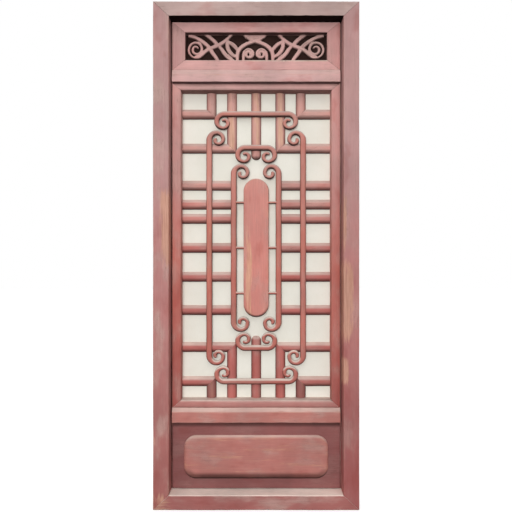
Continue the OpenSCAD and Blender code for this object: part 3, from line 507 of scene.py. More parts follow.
# The two middle rails: each has a rib that stands proud between the mouldings, its top edge sloped back so
# that rain runs off. The slope looks up, so it is pale with dust and a painted highlight.
rail_red = painted("Rail red", [(213, 170, 166), (198, 138, 130), (186, 117, 107)], (214, 166, 146), patches=0.14,
                   dust_and_painted_light=0.7, fade=0.5)
rib_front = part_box("upper_rail")[0].y
face_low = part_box("openwork_frame_left")[0]
face_front, face_half = face_low.y, -face_low.x
openwork_crown, lattice_crown = 0.002, 0.0035
rib_back, rib_lap, rib_tuck, shadow_gap = core_depth[0] + 0.004, 0.0016, 0.0008, 0.003
rib_eases, fine_gap = (0.001, 0.001, 0.0022, 0.003, 0.0006), 0.006
for name, low, high, slope, crown, seed in (
    ("upper_rail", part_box("lattice_frame_top")[1].z + shadow_gap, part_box("openwork_frame_bottom")[0].z, 0.021,
     openwork_crown, 31),
    ("lower_rail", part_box("bottom_panel")[1].z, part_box("lattice_frame_bottom")[0].z, 0.015, lattice_crown, 32),
):
    core_low, core_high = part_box(name)
    rib = eased_outline([(high + rib_lap, rib_back), (low, rib_back), (low, rib_front), (high - slope, rib_front),
                         (high + rib_lap, face_front + crown - rib_tuck)], rib_eases, fine_gap)
    core = box_outline((core_low.z, core_high.z), core_depth, rail_ease)
    put_piece(name + "_timber", [timber(rib, (-face_half, face_half), True, seed),
                                 timber(core, (-stile_inner, stile_inner), True, seed + 100)],
              rail_red, "leaf", [name])


# The openwork frame: four flat mouldings with a slight crown, mitred round the carved board and planted on
# the leaf's core with glue and hidden pins.
# The openwork mouldings are painted darker where their sides go back into the opening: painted shade.
moulding_occlusion = (0.0142, 0.020)


def paler_lower_edge(tree, place):
    """The opening's lower edge is painted paler, more at the right."""
    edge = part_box("openwork_frame_bottom")[1].z
    return times(tree, between(tree, part(tree, place, 2), edge - 0.012, edge - 0.003),
                 between(tree, part(tree, place, 0), -0.15, 0.0, 0.15, 0.75))


openwork_paint = {
    "left": painted("Openwork left red", (193, 147, 143), (206, 164, 146), dust_and_painted_light=0.8, fade=0.28, occlusion_shade=moulding_occlusion),
    "right": painted("Openwork right red", (205, 151, 146), (210, 166, 148), dust_and_painted_light=0.8, fade=0.28, occlusion_shade=moulding_occlusion),
    "bottom": painted("Openwork bottom red", (216, 165, 160), (216, 198, 184), dust_and_painted_light=0.8, fade=0.28,
                      patch_mask=paler_lower_edge),
    # The top moulding is painted lighter than the sides, painted light against the head's shadow on it
    "top": painted("Openwork top red", (219, 168, 163), (214, 170, 150), dust_and_painted_light=0.8, fade=0.28, occlusion_shade=moulding_occlusion),
}


def crowned_outline(outer, inner, crown):
    """A moulding's outline: a face that swells by `crown` in the middle, depth = front + crown * s^2 for s
    from -1 to 1 across the face, with square eased sides down to the back."""
    s = np.linspace(-1, 1, 9)
    face = np.stack([(outer + inner) / 2 + s * (inner - outer) / 2, face_front + crown * s ** 2], -1)
    corners = np.concatenate([[(inner, core_depth[0]), (outer, core_depth[0])], face])
    if outer > inner:
        corners = corners[::-1]
    crown_ease, face_ease = 0.0012, 0.0018
    eases = np.full(len(corners), crown_ease)
    at = 2 if outer < inner else 0
    eases[[at, at + 8]] = face_ease
    return eased_outline(corners, eases, fine_gap)


def frame_rectangles(prefix):
    """The outer and the inner rectangle of a planted frame, each as (half width, bottom, top)."""
    (bottom_low, bottom_high), (top_low, top_high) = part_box(prefix + "_bottom"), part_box(prefix + "_top")
    return (face_half, bottom_low.z, top_high.z), (-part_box(prefix + "_left")[1].x, bottom_high.z, top_low.z)


def planted_frame(prefix, crown, seed, paint, extra=None):
    """Four mitred crowned mouldings between a frame's two rectangles, with what `extra` adds to each."""
    for member, seed_step in (("left", -1), ("right", 1), ("bottom", 2), ("top", 3)):
        edges, ends, level = mitred(*frame_rectangles(prefix), member)
        sweeps = [timber(crowned_outline(*edges, crown), ends, level, seed + seed_step, step=0.009)]
        put_piece(f"{prefix}_{member}_moulding", sweeps + (extra(member) if extra else []), paint[member], "leaf",
                  [f"{prefix}_{member}"])


planted_frame("openwork_frame", openwork_crown, 41, openwork_paint)


# The openwork carving: one board sawn right through with a scroll-grass pattern, then its stems rounded over
# with a gouge. It lies behind the openwork frame, held in the leaf's core.
# The carving is painted darker on its stems' sides, deep in the work: painted shade.
carving_red = painted("Carving red", (216, 169, 163), (216, 176, 160), patches=0.2, fade=0.6, along=(1.0, 6.0, 1.0),
                      occlusion_shade=(0.041, 0.049))
carving_low, carving_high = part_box("openwork_carving")
opening_half, opening_low, opening_high = frame_rectangles("openwork_frame")[1]


def in_opening(shares):
    """Places in the opening from shares: outwards from the middle to the left, and up from the bottom."""
    shares = np.asarray(shares, float)
    return np.stack([-shares[:, 0] * opening_half, opening_low + shares[:, 1] * (opening_high - opening_low)], -1)


def smooth_path(*shares):
    """A Catmull-Rom curve: a cubic between neighbouring points whose slope at each is half the step across it."""
    points = in_opening(shares)
    p = np.concatenate([points[:1], points, points[-1:]])
    t = np.linspace(0, 1, 14, endpoint=False)[None, :, None]
    before, start, end, after = (p[k:len(p) - 3 + k, None] for k in range(4))
    leave, arrive, gone = (end - before) / 2, (after - start) / 2, end - start
    curve = start + t * leave + t ** 2 * (3 * gone - 2 * leave - arrive) + t ** 3 * (leave + arrive - 2 * gone)
    return np.concatenate([curve.reshape(-1, 2), points[-1:]])


def wound_path(centre, radius, eye, start, turn):
    """A scroll: the radius falls evenly from `radius` to `radius * eye` while the angle goes back by `turn`."""
    s = np.linspace(0, 1, 110)
    a = np.radians(start - turn * s)
    return in_opening([centre])[0] + (radius * (1 - (1 - eye) * s))[:, None] * np.stack([np.cos(a), np.sin(a)], -1)


def left_of(path):
    """The unit vector to the left of a path at each of its points."""
    step = np.gradient(path, axis=0)
    heading = step / np.linalg.norm(step, axis=1, keepdims=True)
    return np.stack([-heading[:, 1], heading[:, 0]], -1)


def carved_stem(path, width, front, back):
    """A stem along a path on the door's face: its half width falls to 0.55 at the ends with the cube of the way
    there, and its front is a flattened half circle, depth = front + 5.8 mm * (1 - (1 - |c|^2.4)^(1/2.4)) for c
    from -1 to 1 across it."""
    tip, fall = 0.55, 0.0058
    half = width / 2 * (1 - (1 - tip) * np.abs(np.linspace(-1, 1, len(path))) ** 3)
    c = np.linspace(-1, 1, 13)
    across = np.concatenate([[-1, 1], c[::-1]])
    drop = (1 - (1 - np.abs(c) ** 2.4) ** (1 / 2.4))[::-1] * fall
    depth = np.concatenate([[back, back], front + drop])
    x, z = (path[:, None, k] + left_of(path)[:, None, k] * half[:, None] * across for k in (0, 1))
    return {"rings": np.stack([x, np.broadcast_to(depth, x.shape), z], -1), "flip": True, "wear": np.zeros(x.shape),
            "u": np.zeros(x.shape), "v": np.linspace(0, 0.03, len(across) + 1)}


stem_w, middle_shift = 0.0182, 0.005
stem_lines = [
    (0.0006, stem_w, smooth_path((0.965, 0.97), (0.85, 0.9), (0.74, 0.73), (0.665, 0.555), (0.61, 0.34),
                                 (0.555, 0.15), (0.51, -0.06))),
    (0.0014, stem_w, smooth_path((0.73, 1.05), (0.64, 0.9), (0.575, 0.75), (0.535, 0.63))),
    (0.0, stem_w, smooth_path((0.87, 0.2), (0.79, 0.24), (0.71, 0.42), (0.62, 0.54), (0.525, 0.635), (0.45, 0.75),
                              (0.39, 0.88), (0.32, 1.05))),
    (0.0012, stem_w, smooth_path((0.53, 0.62), (0.48, 0.49), (0.44, 0.34), (0.39, 0.2), (0.32, 0.07), (0.26, -0.05))),
    (0.001, stem_w, smooth_path((0.395, 0.8), (0.397, 0.6), (0.372, 0.43), (0.325, 0.29), (0.26, 0.19))),
    (0.0018, stem_w, smooth_path((0.395, 0.77), (0.335, 0.69), (0.285, 0.58), (0.25, 0.44))),
    (0.0, stem_w, smooth_path((0.25, -0.05), (0.253, 0.15), (0.25, 0.32), (0.236, 0.42), (0.206, 0.53), (0.165, 0.615),
                              (0.116, 0.685), (0.06, 0.735), (0.0, 0.78), (-0.06, 0.84))),
    (0.0012, stem_w, smooth_path((0.165, 1.05), (0.115, 0.95), (0.06, 0.86), (0.01, 0.79), (-0.05, 0.74))),
    (0.0014, stem_w, smooth_path((0.14, 0.94), (0.05, 0.93), (-0.05, 0.93))),
    (0.0, 0.013, smooth_path((0.168, -0.06), (0.167, 0.15), (0.164, 0.31), (0.155, 0.42))),
    (0.0, 0.0118, wound_path((0.85, 0.478), 0.0385, 0.21, -60, 640)),
    (0.0, 0.0122, wound_path((0.086, 0.31), 0.0235, 0.16, 180, 620)),
]
stems = [carved_stem(path, width, carving_low.y + deeper, carving_high.y) for deeper, width, path in stem_lines]
stems += [{**stem, "rings": stem["rings"] * (-1, 1, 1), "flip": False} for stem in stems]
for stem in stems:
    stem["rings"][..., 0] -= middle_shift * (1 - (stem["rings"][..., 0] / opening_half) ** 2)
rim_depth, rim_lap, rim_ease = (carving_low.y, carving_high.y), 0.004, 0.001
rim_level, rim_upright = (carving_low.x, carving_high.x), (opening_low - rim_lap, opening_high + rim_lap)
rims = [timber(box_outline(across, rim_depth, rim_ease), ends, level, seed)
        for across, ends, level, seed in (((carving_low.z, opening_low), rim_level, True, 45),
                                          ((opening_high, carving_high.z), rim_level, True, 46),
                                          ((carving_low.x, -opening_half), rim_upright, False, 47),
                                          ((opening_half, carving_high.x), rim_upright, False, 48))]
carving = put_piece("openwork_carving_board", stems + rims, carving_red, "leaf", ["openwork_carving"])
joined = carving.modifiers.new("Joined", "REMESH")
joined.mode, joined.voxel_size, joined.use_smooth_shade = "VOXEL", 0.0017, True
rounded = carving.modifiers.new("Rounded", "SMOOTH")
rounded.factor, rounded.iterations = 0.5, 3
finished = bpy.data.meshes.new_from_object(carving.evaluated_get(bpy.context.evaluated_depsgraph_get()))
carving.modifiers.clear()
carving.data = finished
finished.materials.clear()
finished.materials.append(carving_red)


# The backing board: a thin plain board behind the carving that keeps the draught out. It is painted almost
# black as the shade behind the openwork, so that the carving stands out against it.
shade_brown = painted("Shade brown", (45, 29, 25), (60, 42, 34), patches=0.2, dust_and_painted_light=0.1, fade=0.03, gloss=0.05)
low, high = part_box("openwork_back")
put_piece("openwork_back_board",
          [timber(box_outline((low.z, high.z), (low.y, high.y), ease=0.001), (low.x, high.x), True, 49)],
          shade_brown, "leaf", ["openwork_back"])


# The lattice frame: four narrow crowned mouldings, mitred, with a leg behind the inner edge that stands in
# the leaf's opening and takes the tenons of the lattice bars.
lattice_inner = frame_rectangles("lattice_frame")[1]
lattice_half, lattice_low, lattice_high = lattice_inner
leg_gap, leg_lap, leg_ease = 0.0002, 0.004, 0.001
leg_w = stile_inner - leg_gap - lattice_half
leg_outer = (lattice_half + leg_w, lattice_low - leg_w, lattice_high + leg_w)
leg_depth = (core_depth[0] - leg_lap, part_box("lattice_frame_left")[1].y)


def leg(member):
    """The leg behind one moulding of the lattice frame, mitred with its neighbours."""
    edges, ends, level = mitred(leg_outer, lattice_inner, member)
    return [timber(box_outline(sorted(edges), leg_depth, leg_ease), ends, level, 62 if level else 61)]


moulding_red = painted("Moulding red", [(204, 150, 144), (188, 108, 97), (158, 81, 76)], (212, 160, 138), patches=0.14,
                       dust_and_painted_light=0.8, fade=0.36)
# The top moulding is painted darker along its top edge: painted shade under the rail above.
top_moulding_red = painted("Top moulding red", (214, 166, 160), (212, 160, 138), dust_and_painted_light=0.1, fade=0.3,
                           occlusion_shade=(1.757, 1.783), occlusion_axis=2, gloss=0.15)
ledge_moulding_red = painted("Ledge moulding red", (188, 126, 119), (212, 160, 138), dust_and_painted_light=1.0, fade=0.4)
planted_frame("lattice_frame", lattice_crown, 51, {"left": moulding_red, "right": moulding_red,
                                                   "bottom": ledge_moulding_red, "top": top_moulding_red}, leg)


# The lattice bars: ten rows of cross bars and five uprights above and below, each rounded over to
# both sides of its face. They are tenoned into the lattice frame and mitred where a row turns upwards.

def middle_of(node, axis):
    """The middle of a node's box along one axis: 0 across the door, 2 up it."""
    low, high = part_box(node)
    return (low[axis] + high[axis]) / 2


def bar_patches(tree, place):
    """The three middle uprights above the pattern are rubbed to tan wood along the middle of their faces."""
    x = maths(tree, "ABSOLUTE", part(tree, place, 0))
    beside = maths(tree, "ABSOLUTE", maths(tree, "SUBTRACT", x, middle_of("upper_upright_4", 0)))
    spot = times(tree, between(tree, maths(tree, "MINIMUM", x, beside), 0.018, 0.007),
                 between(tree, part(tree, place, 2), 1.44, 1.56, 0.0, 0.58))
    return maths(tree, "ADD", spot, 0.16)


# The bars are painted darker on their sloping sides, deep in the lattice: painted shade.
bar_occlusion = (0.053, 0.066)
bar_red = painted("Bar red", [(215, 160, 150), (189, 109, 102), (183, 106, 98)], (228, 186, 160), dust_and_painted_light=0.8, fade=0.36,
                  patch_mask=bar_patches, occlusion_shade=bar_occlusion)
# The outermost lower uprights, beside the frame, are painted darker.
dark_outer_bar_red = painted("Dark outer bar red", [(160, 98, 92), (160, 98, 92), (150, 90, 85)], (172, 124, 104), patches=0.45,
                       fade=0.2, occlusion_shade=bar_occlusion)
bar_low, bar_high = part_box("cross_bars_6")
bar_half = (bar_high.z - bar_low.z) / 2
bar_fall, bar_ease, bar_uneven, bar_step = 0.012, 0.0009, 0.0002, 0.008


def bar(middle, ends, level, seed, round_end=None):
    """A bar along a middle line: a flat back and a face that falls away to both edges, depth = front
    + 12 mm * |s|^2.3 for s from -1 to 1."""
    s = np.linspace(-1, 1, 15)
    face = np.stack([middle + bar_half * s, bar_low.y + bar_fall * np.abs(s) ** 2.3], -1)
    back = [(middle + bar_half, bar_high.y), (middle - bar_half, bar_high.y)]
    outline = eased_outline(np.concatenate([back, face]), bar_ease, fine_gap)
    return timber(outline, ends, level, seed, bar_uneven, bar_step, round_end)


row_zs = [middle_of(f"cross_bars_{i}", 2) for i in range(1, 11)]
upright_xs = [middle_of(f"upper_upright_{i}", 0) for i in range(1, 6)]
strip_seat = 0.012
bar_end = -(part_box("inner_scroll_left")[0].x + strip_seat)
for i, z in enumerate(row_zs):
    from_end, way = min(i, 9 - i), 1 if i < 5 else -1
    left = [(-lattice_half, -bar_end)] * 2
    if from_end < 2:
        x = upright_xs[from_end]
        left = [(-lattice_half, x + way * bar_half), (-lattice_half, x - way * bar_half)]
    right = [(-b, -a) for a, b in left]
    put_piece(f"cross_bars_{i + 1}_pair", [bar(z, left, True, 200 + i), bar(z, right, True, 220 + i)], bar_red, "leaf",
              [f"cross_bars_{i + 1}"])
for word, way, frame_end in (("upper", 1, lattice_high), ("lower", -1, lattice_low)):
    for i, x in enumerate(upright_xs):
        from_side, node = min(i, 4 - i), f"{word}_upright_{i + 1}"
        if from_side == 2:
            low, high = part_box(node)
            ends = sorted((low.z if way > 0 else high.z, frame_end))
            sweep = bar(x, ends, False, 240 + i + 10 * way, "low" if way > 0 else "high")
        else:
            z = row_zs[from_side if way > 0 else 9 - from_side]
            mitre = [z + way * bar_half, z - way * bar_half][::1 if x < 0 else -1]
            ends = [(cut, frame_end)[::way] for cut in mitre]
            sweep = bar(x, ends, False, 240 + i + 10 * way)
        put_piece(node + "_bar", [sweep], dark_outer_bar_red if way < 0 and from_side == 0 else bar_red, "leaf", [node])


# The scroll strips: two frames of rounded strips planted on the bars, sawn from board with both ends curled
# inwards into a volute and rounded over. Their paint has kept more of its orange red.
# The strips take heavy dust with a painted highlight on their upper halves, and painted shade below and deep at their
# sides.
strip_red = painted("Strip red", [(204, 138, 126), (194, 114, 101), (178, 102, 93)], (218, 152, 124), patches=0.3,
                    dust_and_painted_light=1.4, fade=0.28, occlusion_shade=(0.0415, 0.0485), underside_shade=0.85)
strip_w, strip_front, strip_back = 0.0255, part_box("outer_scroll_left")[0].y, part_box("outer_scroll_left")[1].y
strip_fall, strip_uneven, strip_step = 0.01, 0.0003, 0.008
curl_r, curl_eye_r, curl_turn = 0.036, 0.007, math.radians(400)


def curl(angle):
    """A volute, t = angle / 400 deg: its sawn width falls to 0.47 of the strip's by t = 0.38 and swells a little to
    the eye, and it is left fuller on its inner side, 0.64 to 0.7. Its radius is r = 36 mm - 29 mm * t^1.6 - 0.4 *
    (strip width - sawn width) * (1 - t) - 0.4 * (width - sawn width). Along it goes r sin(angle), inwards 36 mm
    - r cos(angle)."""
    t = angle / curl_turn
    sawn = strip_w * np.where(t < 0.38, 1 - 0.53 * t / 0.38, 0.47 + 0.09 * (t - 0.38) / 0.62)
    width = strip_w * np.where(t < 0.45, 1 - 0.36 * t / 0.45, 0.64 + 0.06 * (t - 0.45) / 0.55)
    r = curl_r - (curl_r - curl_eye_r) * t ** 1.6 - 0.4 * (strip_w - sawn) * (1 - t) - 0.4 * (width - sawn)
    return r * np.sin(angle), curl_r - r * np.cos(angle), width


side_along, _, side_width = curl(np.array(np.pi / 2))
curl_along = side_along + side_width / 2


def scroll_strip(reach, seed):
    """A strip that reaches `reach` to both sides of its middle: a straight run between two curls. The section
    is a flat back and a rounded front, depth = front + 10 mm * (1 - (1 - |c|^2.1)^(1/2.1)). Gives the
    rings as [along, inwards, depth], with the width rounded off over the last half width at each eye."""
    along, inward, width = curl(np.linspace(0, curl_turn, 84))
    bend = reach - curl_along
    straight = np.linspace(0, bend, max(6, math.ceil(bend / strip_step)))[:-1]
    line = np.concatenate([np.stack([straight, 0 * straight], -1), np.stack([bend + along, inward], -1)])
    widths = np.concatenate([np.full(len(straight), strip_w), width])
    line = np.concatenate([line[:0:-1] * (-1, 1), line])
    widths = np.concatenate([widths[:0:-1], widths])
    side = left_of(line)
    run = np.concatenate([[0], np.cumsum(np.linalg.norm(np.diff(line, axis=0), axis=1))])
    to_eye = np.clip(np.minimum(run, run[-1] - run) / (widths[-1] / 2), 0.03, 1)
    widths = widths * np.sqrt(np.clip(1 - (1 - to_eye) ** 2, 0, 1))
    c = np.linspace(-1, 1, 17)
    drop = strip_fall * (1 - (1 - np.abs(c) ** 2.1) ** (1 / 2.1))
    across = np.concatenate([[-1, -0.33, 0.33, 1], c[::-1]])
    depth = np.concatenate([np.full(4, strip_back), (strip_front + drop)[::-1]])
    uneven = strip_uneven * ripple(seed, run, 0 * run, 0.25, 1.0)[:, None]
    a, b = (line[:, k:k + 1] + side[:, k:k + 1] * (widths[:, None] / 2 * across + uneven) for k in (0, 1))
    crest = np.concatenate([[0, 0, 0, 0], np.exp(-((np.abs(c[::-1]) - 0.8) / 0.2) ** 2)])
    worn = np.clip(crest * (0.35 + 0.4 * ripple(seed + 1, run, 0 * run, 0.12, 1.0)[:, None]), 0, 1)
    return {"along": a, "inward": b, "depth": np.broadcast_to(depth, a.shape), "wear": worn,
            "u": np.broadcast_to(run[:, None] + 1.37 * seed, a.shape),
            "v": run_round(np.stack([across * strip_w / 2, depth], -1)) + 0.71 * seed}


for ring, seed in (("outer", 300), ("inner", 320)):
    left_low, left_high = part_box(f"{ring}_scroll_left")
    top_low, top_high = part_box(f"{ring}_scroll_top")
    bottom_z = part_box(f"{ring}_scroll_bottom")[0].z + strip_seat
    for name, way, seed_step in (("left", 1, 1), ("right", -1, -1), ("top", 1, 5), ("bottom", -1, 3)):
        if name in ("left", "right"):
            s = scroll_strip((left_high.z - left_low.z) / 2, seed + seed_step)
            x, z = way * (left_low.x + strip_seat + s["inward"]), (left_low.z + left_high.z) / 2 + s["along"]
        else:
            s = scroll_strip((top_high.x - top_low.x) / 2, seed + seed_step)
            x, z = s["along"], (top_high.z - strip_seat if name == "top" else bottom_z) - way * s["inward"]
        put_piece(f"{ring}_scroll_{name}_strip", [{**s, "rings": np.stack([x, s["depth"], z], -1), "flip": way > 0}],
                  strip_red, "leaf", [f"{ring}_scroll_{name}"], crease=60)


# The centre tablet: a long board with round ends, its edge rounded over, held between the inner strips by six
# turned pegs. A tan stripe of bare wood runs down its left part.
def tablet_patches(tree, place):
    """Bare wood in a stripe left of the tablet's middle, strongest in the lower two thirds."""
    x, z = part(tree, place, 0), part(tree, place, 2)
    stripe = times(tree, between(tree, x, -0.05, -0.036), between(tree, x, -0.012, -0.026),
                   between(tree, z, 1.34, 0.98), 0.7)
    return maths(tree, "ADD", stripe, 0.15)


# The tablet is painted darker along its lower end and on faces that look down: painted shade.
tablet_red = painted("Tablet red", [(211, 142, 132), (208, 133, 123), (203, 128, 117)], (228, 178, 150), dust_and_painted_light=0.5,
                     fade=0.32, patch_mask=tablet_patches, occlusion_shade="attribute", underside_shade=0.9)


def put_board(node, radius, edge, fall, occlusion_reach, grain_level, seed, material):
    """Puts a board with a rounded outline and edge in a node's box. The outline is a rectangle with corners of
    `radius`; going in by edge * (1 - cos e) its depth is front + fall * (1 - sin e); the face then goes in towards
    the middle line, p = (1 - s) * outline + s * middle, with hand-planed unevenness. Painted shade lies along the
    lower edge and thins out over the given reach. One face closes the back and one the middle."""
    gap, uneven, set_back, crease = 0.009, 0.00035, 0.0003, 50
    low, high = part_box(node)
    half_w, half_h = high.x, (high.z - low.z) / 2
    q = np.linspace(0, np.pi / 2, 12)
    turn = np.concatenate([q, q + np.pi / 2, q + np.pi, q + 3 * np.pi / 2])
    spokes = np.stack([np.cos(turn), np.sin(turn)], -1)
    corner_x = np.repeat([1, -1, -1, 1], 12) * (half_w - radius)
    corner_z = np.repeat([1, 1, -1, -1], 12) * (half_h - radius)
    arcs = np.stack([corner_x, corner_z], -1) + radius * spokes
    count = np.maximum(1, np.round(np.linalg.norm(np.roll(arcs, -1, 0) - arcs, axis=1) / gap)).astype(int)
    i = np.repeat(np.arange(48), count)
    t = ((np.arange(len(i)) - np.repeat(np.cumsum(count) - count, count)) * (1 / count[i]))[:, None]
    outline, out = (p[i] + (p[(i + 1) % 48] - p[i]) * t for p in (arcs, spokes))
    reach = np.array([half_w, half_h]) - min(half_w, half_h)
    e = np.linspace(0, np.pi / 2, 9)
    inset = np.concatenate([[0.0], edge * (1 - np.cos(e))])
    ring = outline - inset[:, None, None] * out
    s = np.linspace(0.06, 0.93, 16)[:, None, None]
    rings = np.concatenate([ring, (1 - s) * ring[-1:] + s * np.clip(outline, -reach, reach)])
    depth = np.concatenate([[high.y], low.y + fall * (1 - np.sin(e)), np.full(16, low.y)])[:, None] + 0 * rings[..., 0]
    flat = uneven * ripple(seed, rings[..., 0], rings[..., 1], 0.11, 0.35)
    depth[9:] += flat[9:] * np.linspace(0.3, 1, 17)[:, None] + set_back
    x, z = rings[..., 0], rings[..., 1] + (low.z + high.z) / 2
    wear = np.concatenate([[0.2], 0.2 + 0.6 * np.sin(2 * e), np.linspace(0.25, 0, 16)])[:, None]
    wear = np.clip(wear * (0.7 + 0.5 * ripple(seed + 1, x, z, 0.08, 0.08)), 0, 1)
    way_in = np.linalg.norm(rings - outline, axis=-1)
    # Painted shade along the lower edge, which faces down
    occlusion_shade = np.clip(-out[:, 1], 0, 1) * np.clip(2.2 - 2.2 * way_in / occlusion_reach, 0, 1)
    m, n = x.shape
    faces = [*ring_faces(m, n)[3].tolist(), np.arange(n)[::-1].tolist(), ((m - 1) * n + np.arange(n)).tolist()]
    points = np.concatenate([np.array(face) for face in faces])
    grain = np.stack([g.reshape(-1)[points] for g in ((x, z) if grain_level else (z, x))], -1)
    fit_piece(node + "_board", np.stack([x, depth, z], -1).reshape(-1, 3), faces, {"wear": wear, "occlusion_shade": occlusion_shade}, grain,
              material, "leaf", [node], crease)


low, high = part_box("centre_tablet")
put_board("centre_tablet", high.x, 0.006, 0.0085, 0.011, False, 401, tablet_red)
peg_low, peg_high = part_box("tablet_pegs")
peg_y, peg_r = (peg_low.y + peg_high.y) / 2, (peg_high.y - peg_low.y) / 2
peg_step, peg_lap = 0.8 * ((high.z - low.z) / 2 - high.x), 0.002
# A peg is a little thinner half way along, at t from 0 to 1 from the tablet to the strip
t = np.linspace(0, 1, 9)[:, None]
a = np.linspace(0, 2 * np.pi, 24, endpoint=False)
r = peg_r * (1.15 - 0.08 * np.sin(np.pi * t))
pegs = []
for k in (-1, 0, 1):
    for side in (-1, 1):
        x = side * (high.x - peg_lap + t * (peg_high.x - high.x + 2 * peg_lap)) + 0 * a
        z = (low.z + high.z) / 2 + k * peg_step
        pegs.append({"rings": np.stack([x, peg_y + r * np.cos(a), z + r * np.sin(a)], -1), "flip": side < 0,
                     "wear": np.full(x.shape, 0.1), "u": x + k, "v": np.linspace(0, 0.035, 25) + k})
put_piece("tablet_peg_set", pegs, strip_red, "leaf", ["tablet_pegs"])


# The paper: one sheet of cream window paper pasted to the back of the lattice and of its frame. It has sagged
# back a little between the bars, and is painted grey along them: dust and painted shade.
paper_low, paper_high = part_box("lattice_paper")


def paper_material():
    """Matt cream paper with long fibres, faint clouds, and grey along the bars that is dust and painted shade.
    A fifth of its colour is given again as emission, a painted glow that lightens the shade on it."""
    material = bpy.data.materials.new("Window paper")
    material.use_nodes = True
    tree = material.node_tree
    place = tree.nodes.new("ShaderNodeTexCoord").outputs["Object"]
    clouds = mottle(tree, place, (6.0, 6.0, 6.0), 5.0, 0.6)
    fibres = mottle(tree, place, (240.0, 240.0, 60.0), 4.0, 0.7)
    colour = tint(tree, between(tree, clouds, 0.3, 0.7), srgb(218, 215, 204), srgb(225, 222, 212))
    colour = tint(tree, between(tree, fibres, 0.55, 0.75, 0.0, 0.25), colour, srgb(205, 196, 176))
    # Grey along the bars: dust and painted shade
    dust_and_painted_light = times(tree, carried(tree, "bar_dust_and_shade"), between(tree, clouds, 0.2, 0.7, 0.05, 0.25))
    colour = tint(tree, dust_and_painted_light, colour, srgb(196, 188, 172))
    relief = tree.nodes.new("ShaderNodeBump")
    raised = feed(tree, relief, {"Strength": 0.25, "Distance": 0.0004, "Height": fibres})["Normal"]
    # The colour is given again as emission: a painted glow that lightens the shade on the paper
    feed(tree, tree.nodes["Principled BSDF"], {
        "Base Color": colour, "Roughness": between(tree, clouds, 0.3, 0.7, 0.78, 0.92), "Normal": raised,
        "Emission Color": colour, "Emission Strength": 0.2, "Specular IOR Level": 0.2})
    return material


def paper_sheet():
    """A grid over the lattice: depth = front + sag, sag = 1.1 mm * (1 - exp(-d / 16 mm)) * (0.5 + 0.5 ripple, from 0
    to 1), where d is the distance from the nearest bar. The same grid lies the paper's thickness behind it, joined
    round the edge. The grey of dust and painted shade along the bars is exp(-d / 11 mm), a little less on the back,
    where it stands for the bars' shadow showing through."""
    nx, nz = 108, 220
    sag_depth, sag_reach, bar_dust_and_shade_reach = 0.0011, 0.016, 0.011
    x, z = np.meshgrid(np.linspace(paper_low.x, paper_high.x, nx), np.linspace(paper_low.z, paper_high.z, nz),
                       indexing="ij")
    rows = np.abs(z[..., None] - np.array(row_zs)).min(-1) - bar_half
    posts = np.abs(x[..., None] - np.array(upright_xs)).min(-1) - bar_half
    posts = np.where((z > row_zs[0]) | (z < row_zs[-1]), posts, 1.0)
    rim = np.minimum(lattice_half - np.abs(x), np.minimum(z - lattice_low, lattice_high - z))
    away = np.clip(np.minimum(np.minimum(rows, posts), rim), 0, 1)
    sag = sag_depth * (1 - np.exp(-away / sag_reach)) * np.clip(0.5 + 0.5 * ripple(501, x, z, 0.22, 0.3), 0, 1)
    front = np.stack([x, paper_low.y + sag, z], -1).reshape(-1, 3)
    verts = np.concatenate([front, front + (0, paper_high.y - paper_low.y, 0)])
    i, j = np.meshgrid(np.arange(nx - 1), np.arange(nz - 1), indexing="ij")
    a = i * nz + j
    front_faces = np.stack([a, a + nz, a + nz + 1, a + 1], -1).reshape(-1, 4)
    back_faces = front_faces[:, ::-1] + nx * nz
    edge = np.concatenate([np.arange(nx) * nz, (nx - 1) * nz + np.arange(1, nz),
                           np.arange(nx - 1)[::-1] * nz + nz - 1, np.arange(1, nz - 1)[::-1]])
    after = np.roll(edge, -1)
    rim_faces = np.stack([after, edge, edge + nx * nz, after + nx * nz], -1)
    bar_dust_and_shade = np.exp(-away / bar_dust_and_shade_reach).ravel()
    return verts, np.concatenate([front_faces, back_faces, rim_faces]).tolist(), np.concatenate([bar_dust_and_shade, bar_dust_and_shade * 0.8])


verts, faces, bar_dust_and_shade = paper_sheet()
fit_piece("lattice_paper_sheet", verts, faces, {"bar_dust_and_shade": bar_dust_and_shade}, None, paper_material(), "leaf", ["lattice_paper"],
          40)


# The bottom panel: a plain board planted on the leaf's core under the lower rail's rib, and on it a raised field
# with round corners, worked from its own board and glued on. Both are painted darker towards the bottom.
# The board is painted darker under the lower rail's rib: painted shadow.
panel_red = painted("Panel red", [(212, 130, 124), (212, 130, 124), (131, 80, 78)], (184, 130, 112), dust_and_painted_light=0.5,
                    fade=0.12, occlusion_shade=(0.319, 0.334), occlusion_axis=2)
# The field is painted darker along its lower edge and on faces that look down: painted shade.
field_red = painted("Field red", [(190, 124, 115), (190, 124, 115), (184, 118, 110)], (210, 156, 134), patches=0.34,
                    dust_and_painted_light=0.55, fade=0.42, occlusion_shade="attribute", underside_shade=0.95)
low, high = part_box("bottom_panel")
put_piece("bottom_panel_board",
          [timber(box_outline((low.z, high.z), (low.y, high.y), ease=0.0016), (low.x, high.x), True, 71,
                  uneven=0.0006)],
          panel_red, "leaf", ["bottom_panel"])
put_board("raised_field", 0.052, 0.018, 0.0096, 0.031, True, 411, field_red)


# The studio: a pale floor, a white backdrop, an even sky and two large soft lamps, low and high in front. The
# floor and the sky look white to the camera, and light the door little from below.
def seen_directly(tree):
    """1 for the rays of the camera, of mirrors and of glass, 0 for the rays that carry light."""
    path = tree.nodes.new("ShaderNodeLightPath").outputs
    seen = maths(tree, "MAXIMUM", path["Is Camera Ray"], path["Is Glossy Ray"])
    return maths(tree, "MAXIMUM", seen, path["Is Transmission Ray"])


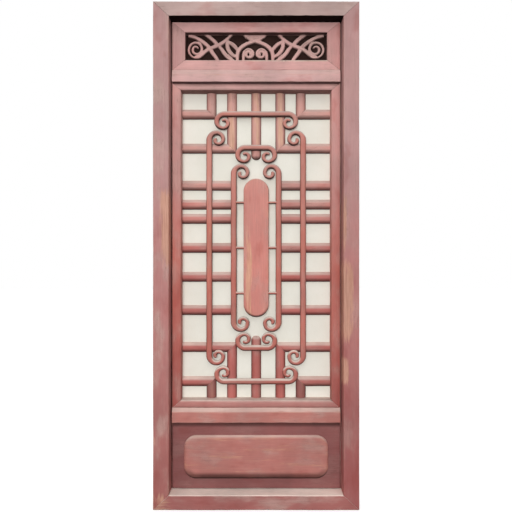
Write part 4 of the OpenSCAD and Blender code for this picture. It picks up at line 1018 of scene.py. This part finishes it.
world = bpy.data.worlds.new("Studio")
bpy.context.scene.world = world
world.use_nodes = True
sky = world.node_tree
up = part(sky, sky.nodes.new("ShaderNodeTexCoord").outputs["Generated"], 2)
strength = wire(sky, "ShaderNodeMix", seen_directly(sky), None, between(sky, up, -0.04, 0.16, 0.0, 0.68), 1.0)
feed(sky, sky.nodes["Background"], {"Color": (1.0, 1.0, 1.0, 1.0), "Strength": strength})

floor_mesh = bpy.data.meshes.new("studio_floor")
floor_z = -0.0005
floor_mesh.from_pydata([(-9, -6, floor_z), (9, -6, floor_z), (9, 14, floor_z), (-9, 14, floor_z)], [], [(0, 1, 2, 3)])
floor = bpy.data.objects.new("studio_floor", floor_mesh)
bpy.context.scene.collection.objects.link(floor)
floor_white = bpy.data.materials.new("Floor white")
floor_white.use_nodes = True
tree = floor_white.node_tree
seen = seen_directly(tree)
feed(tree, tree.nodes["Principled BSDF"], {
    "Base Color": tint(tree, seen, (0.03, 0.03, 0.03, 1.0), (0.9, 0.9, 0.9, 1.0)), "Roughness": 0.9,
    "Emission Color": (1.0, 1.0, 1.0, 1.0), "Emission Strength": times(tree, seen, 0.42)})
floor_mesh.materials.append(floor_white)


def soft_lamp(name, place, size, energy):
    """A square area lamp at a place, turned to look at the middle of the door."""
    lamp = bpy.data.lights.new(name, "AREA")
    lamp.shape, lamp.size, lamp.energy = "SQUARE", size, energy
    holder = bpy.data.objects.new(name, lamp)
    bpy.context.scene.collection.objects.link(holder)
    holder.location = place
    door_middle = (0.0, 0.0, 1.05)
    x, y, z = np.array(door_middle) - np.array(place)
    holder.rotation_euler = (math.atan2(math.hypot(x, y), -z), 0, math.atan2(-x, y))


soft_lamp("Front soft lamp", (-0.7, -5.0, 1.5), 1.3, 135)
soft_lamp("High soft lamp", (0.0, -3.4, 4.9), 2.6, 32)

camera = bpy.data.cameras.new("Photo camera")
camera.sensor_width, camera.lens = 36.0, 35.79
eye = bpy.data.objects.new("Photo camera", camera)
bpy.context.scene.collection.objects.link(eye)
eye.location = (-0.0007, -2.137, 1.049)
eye.rotation_euler = (math.pi / 2, 0.0, 0.0)
bpy.context.scene.camera = eye
bpy.context.scene.view_settings.view_transform = "Standard"
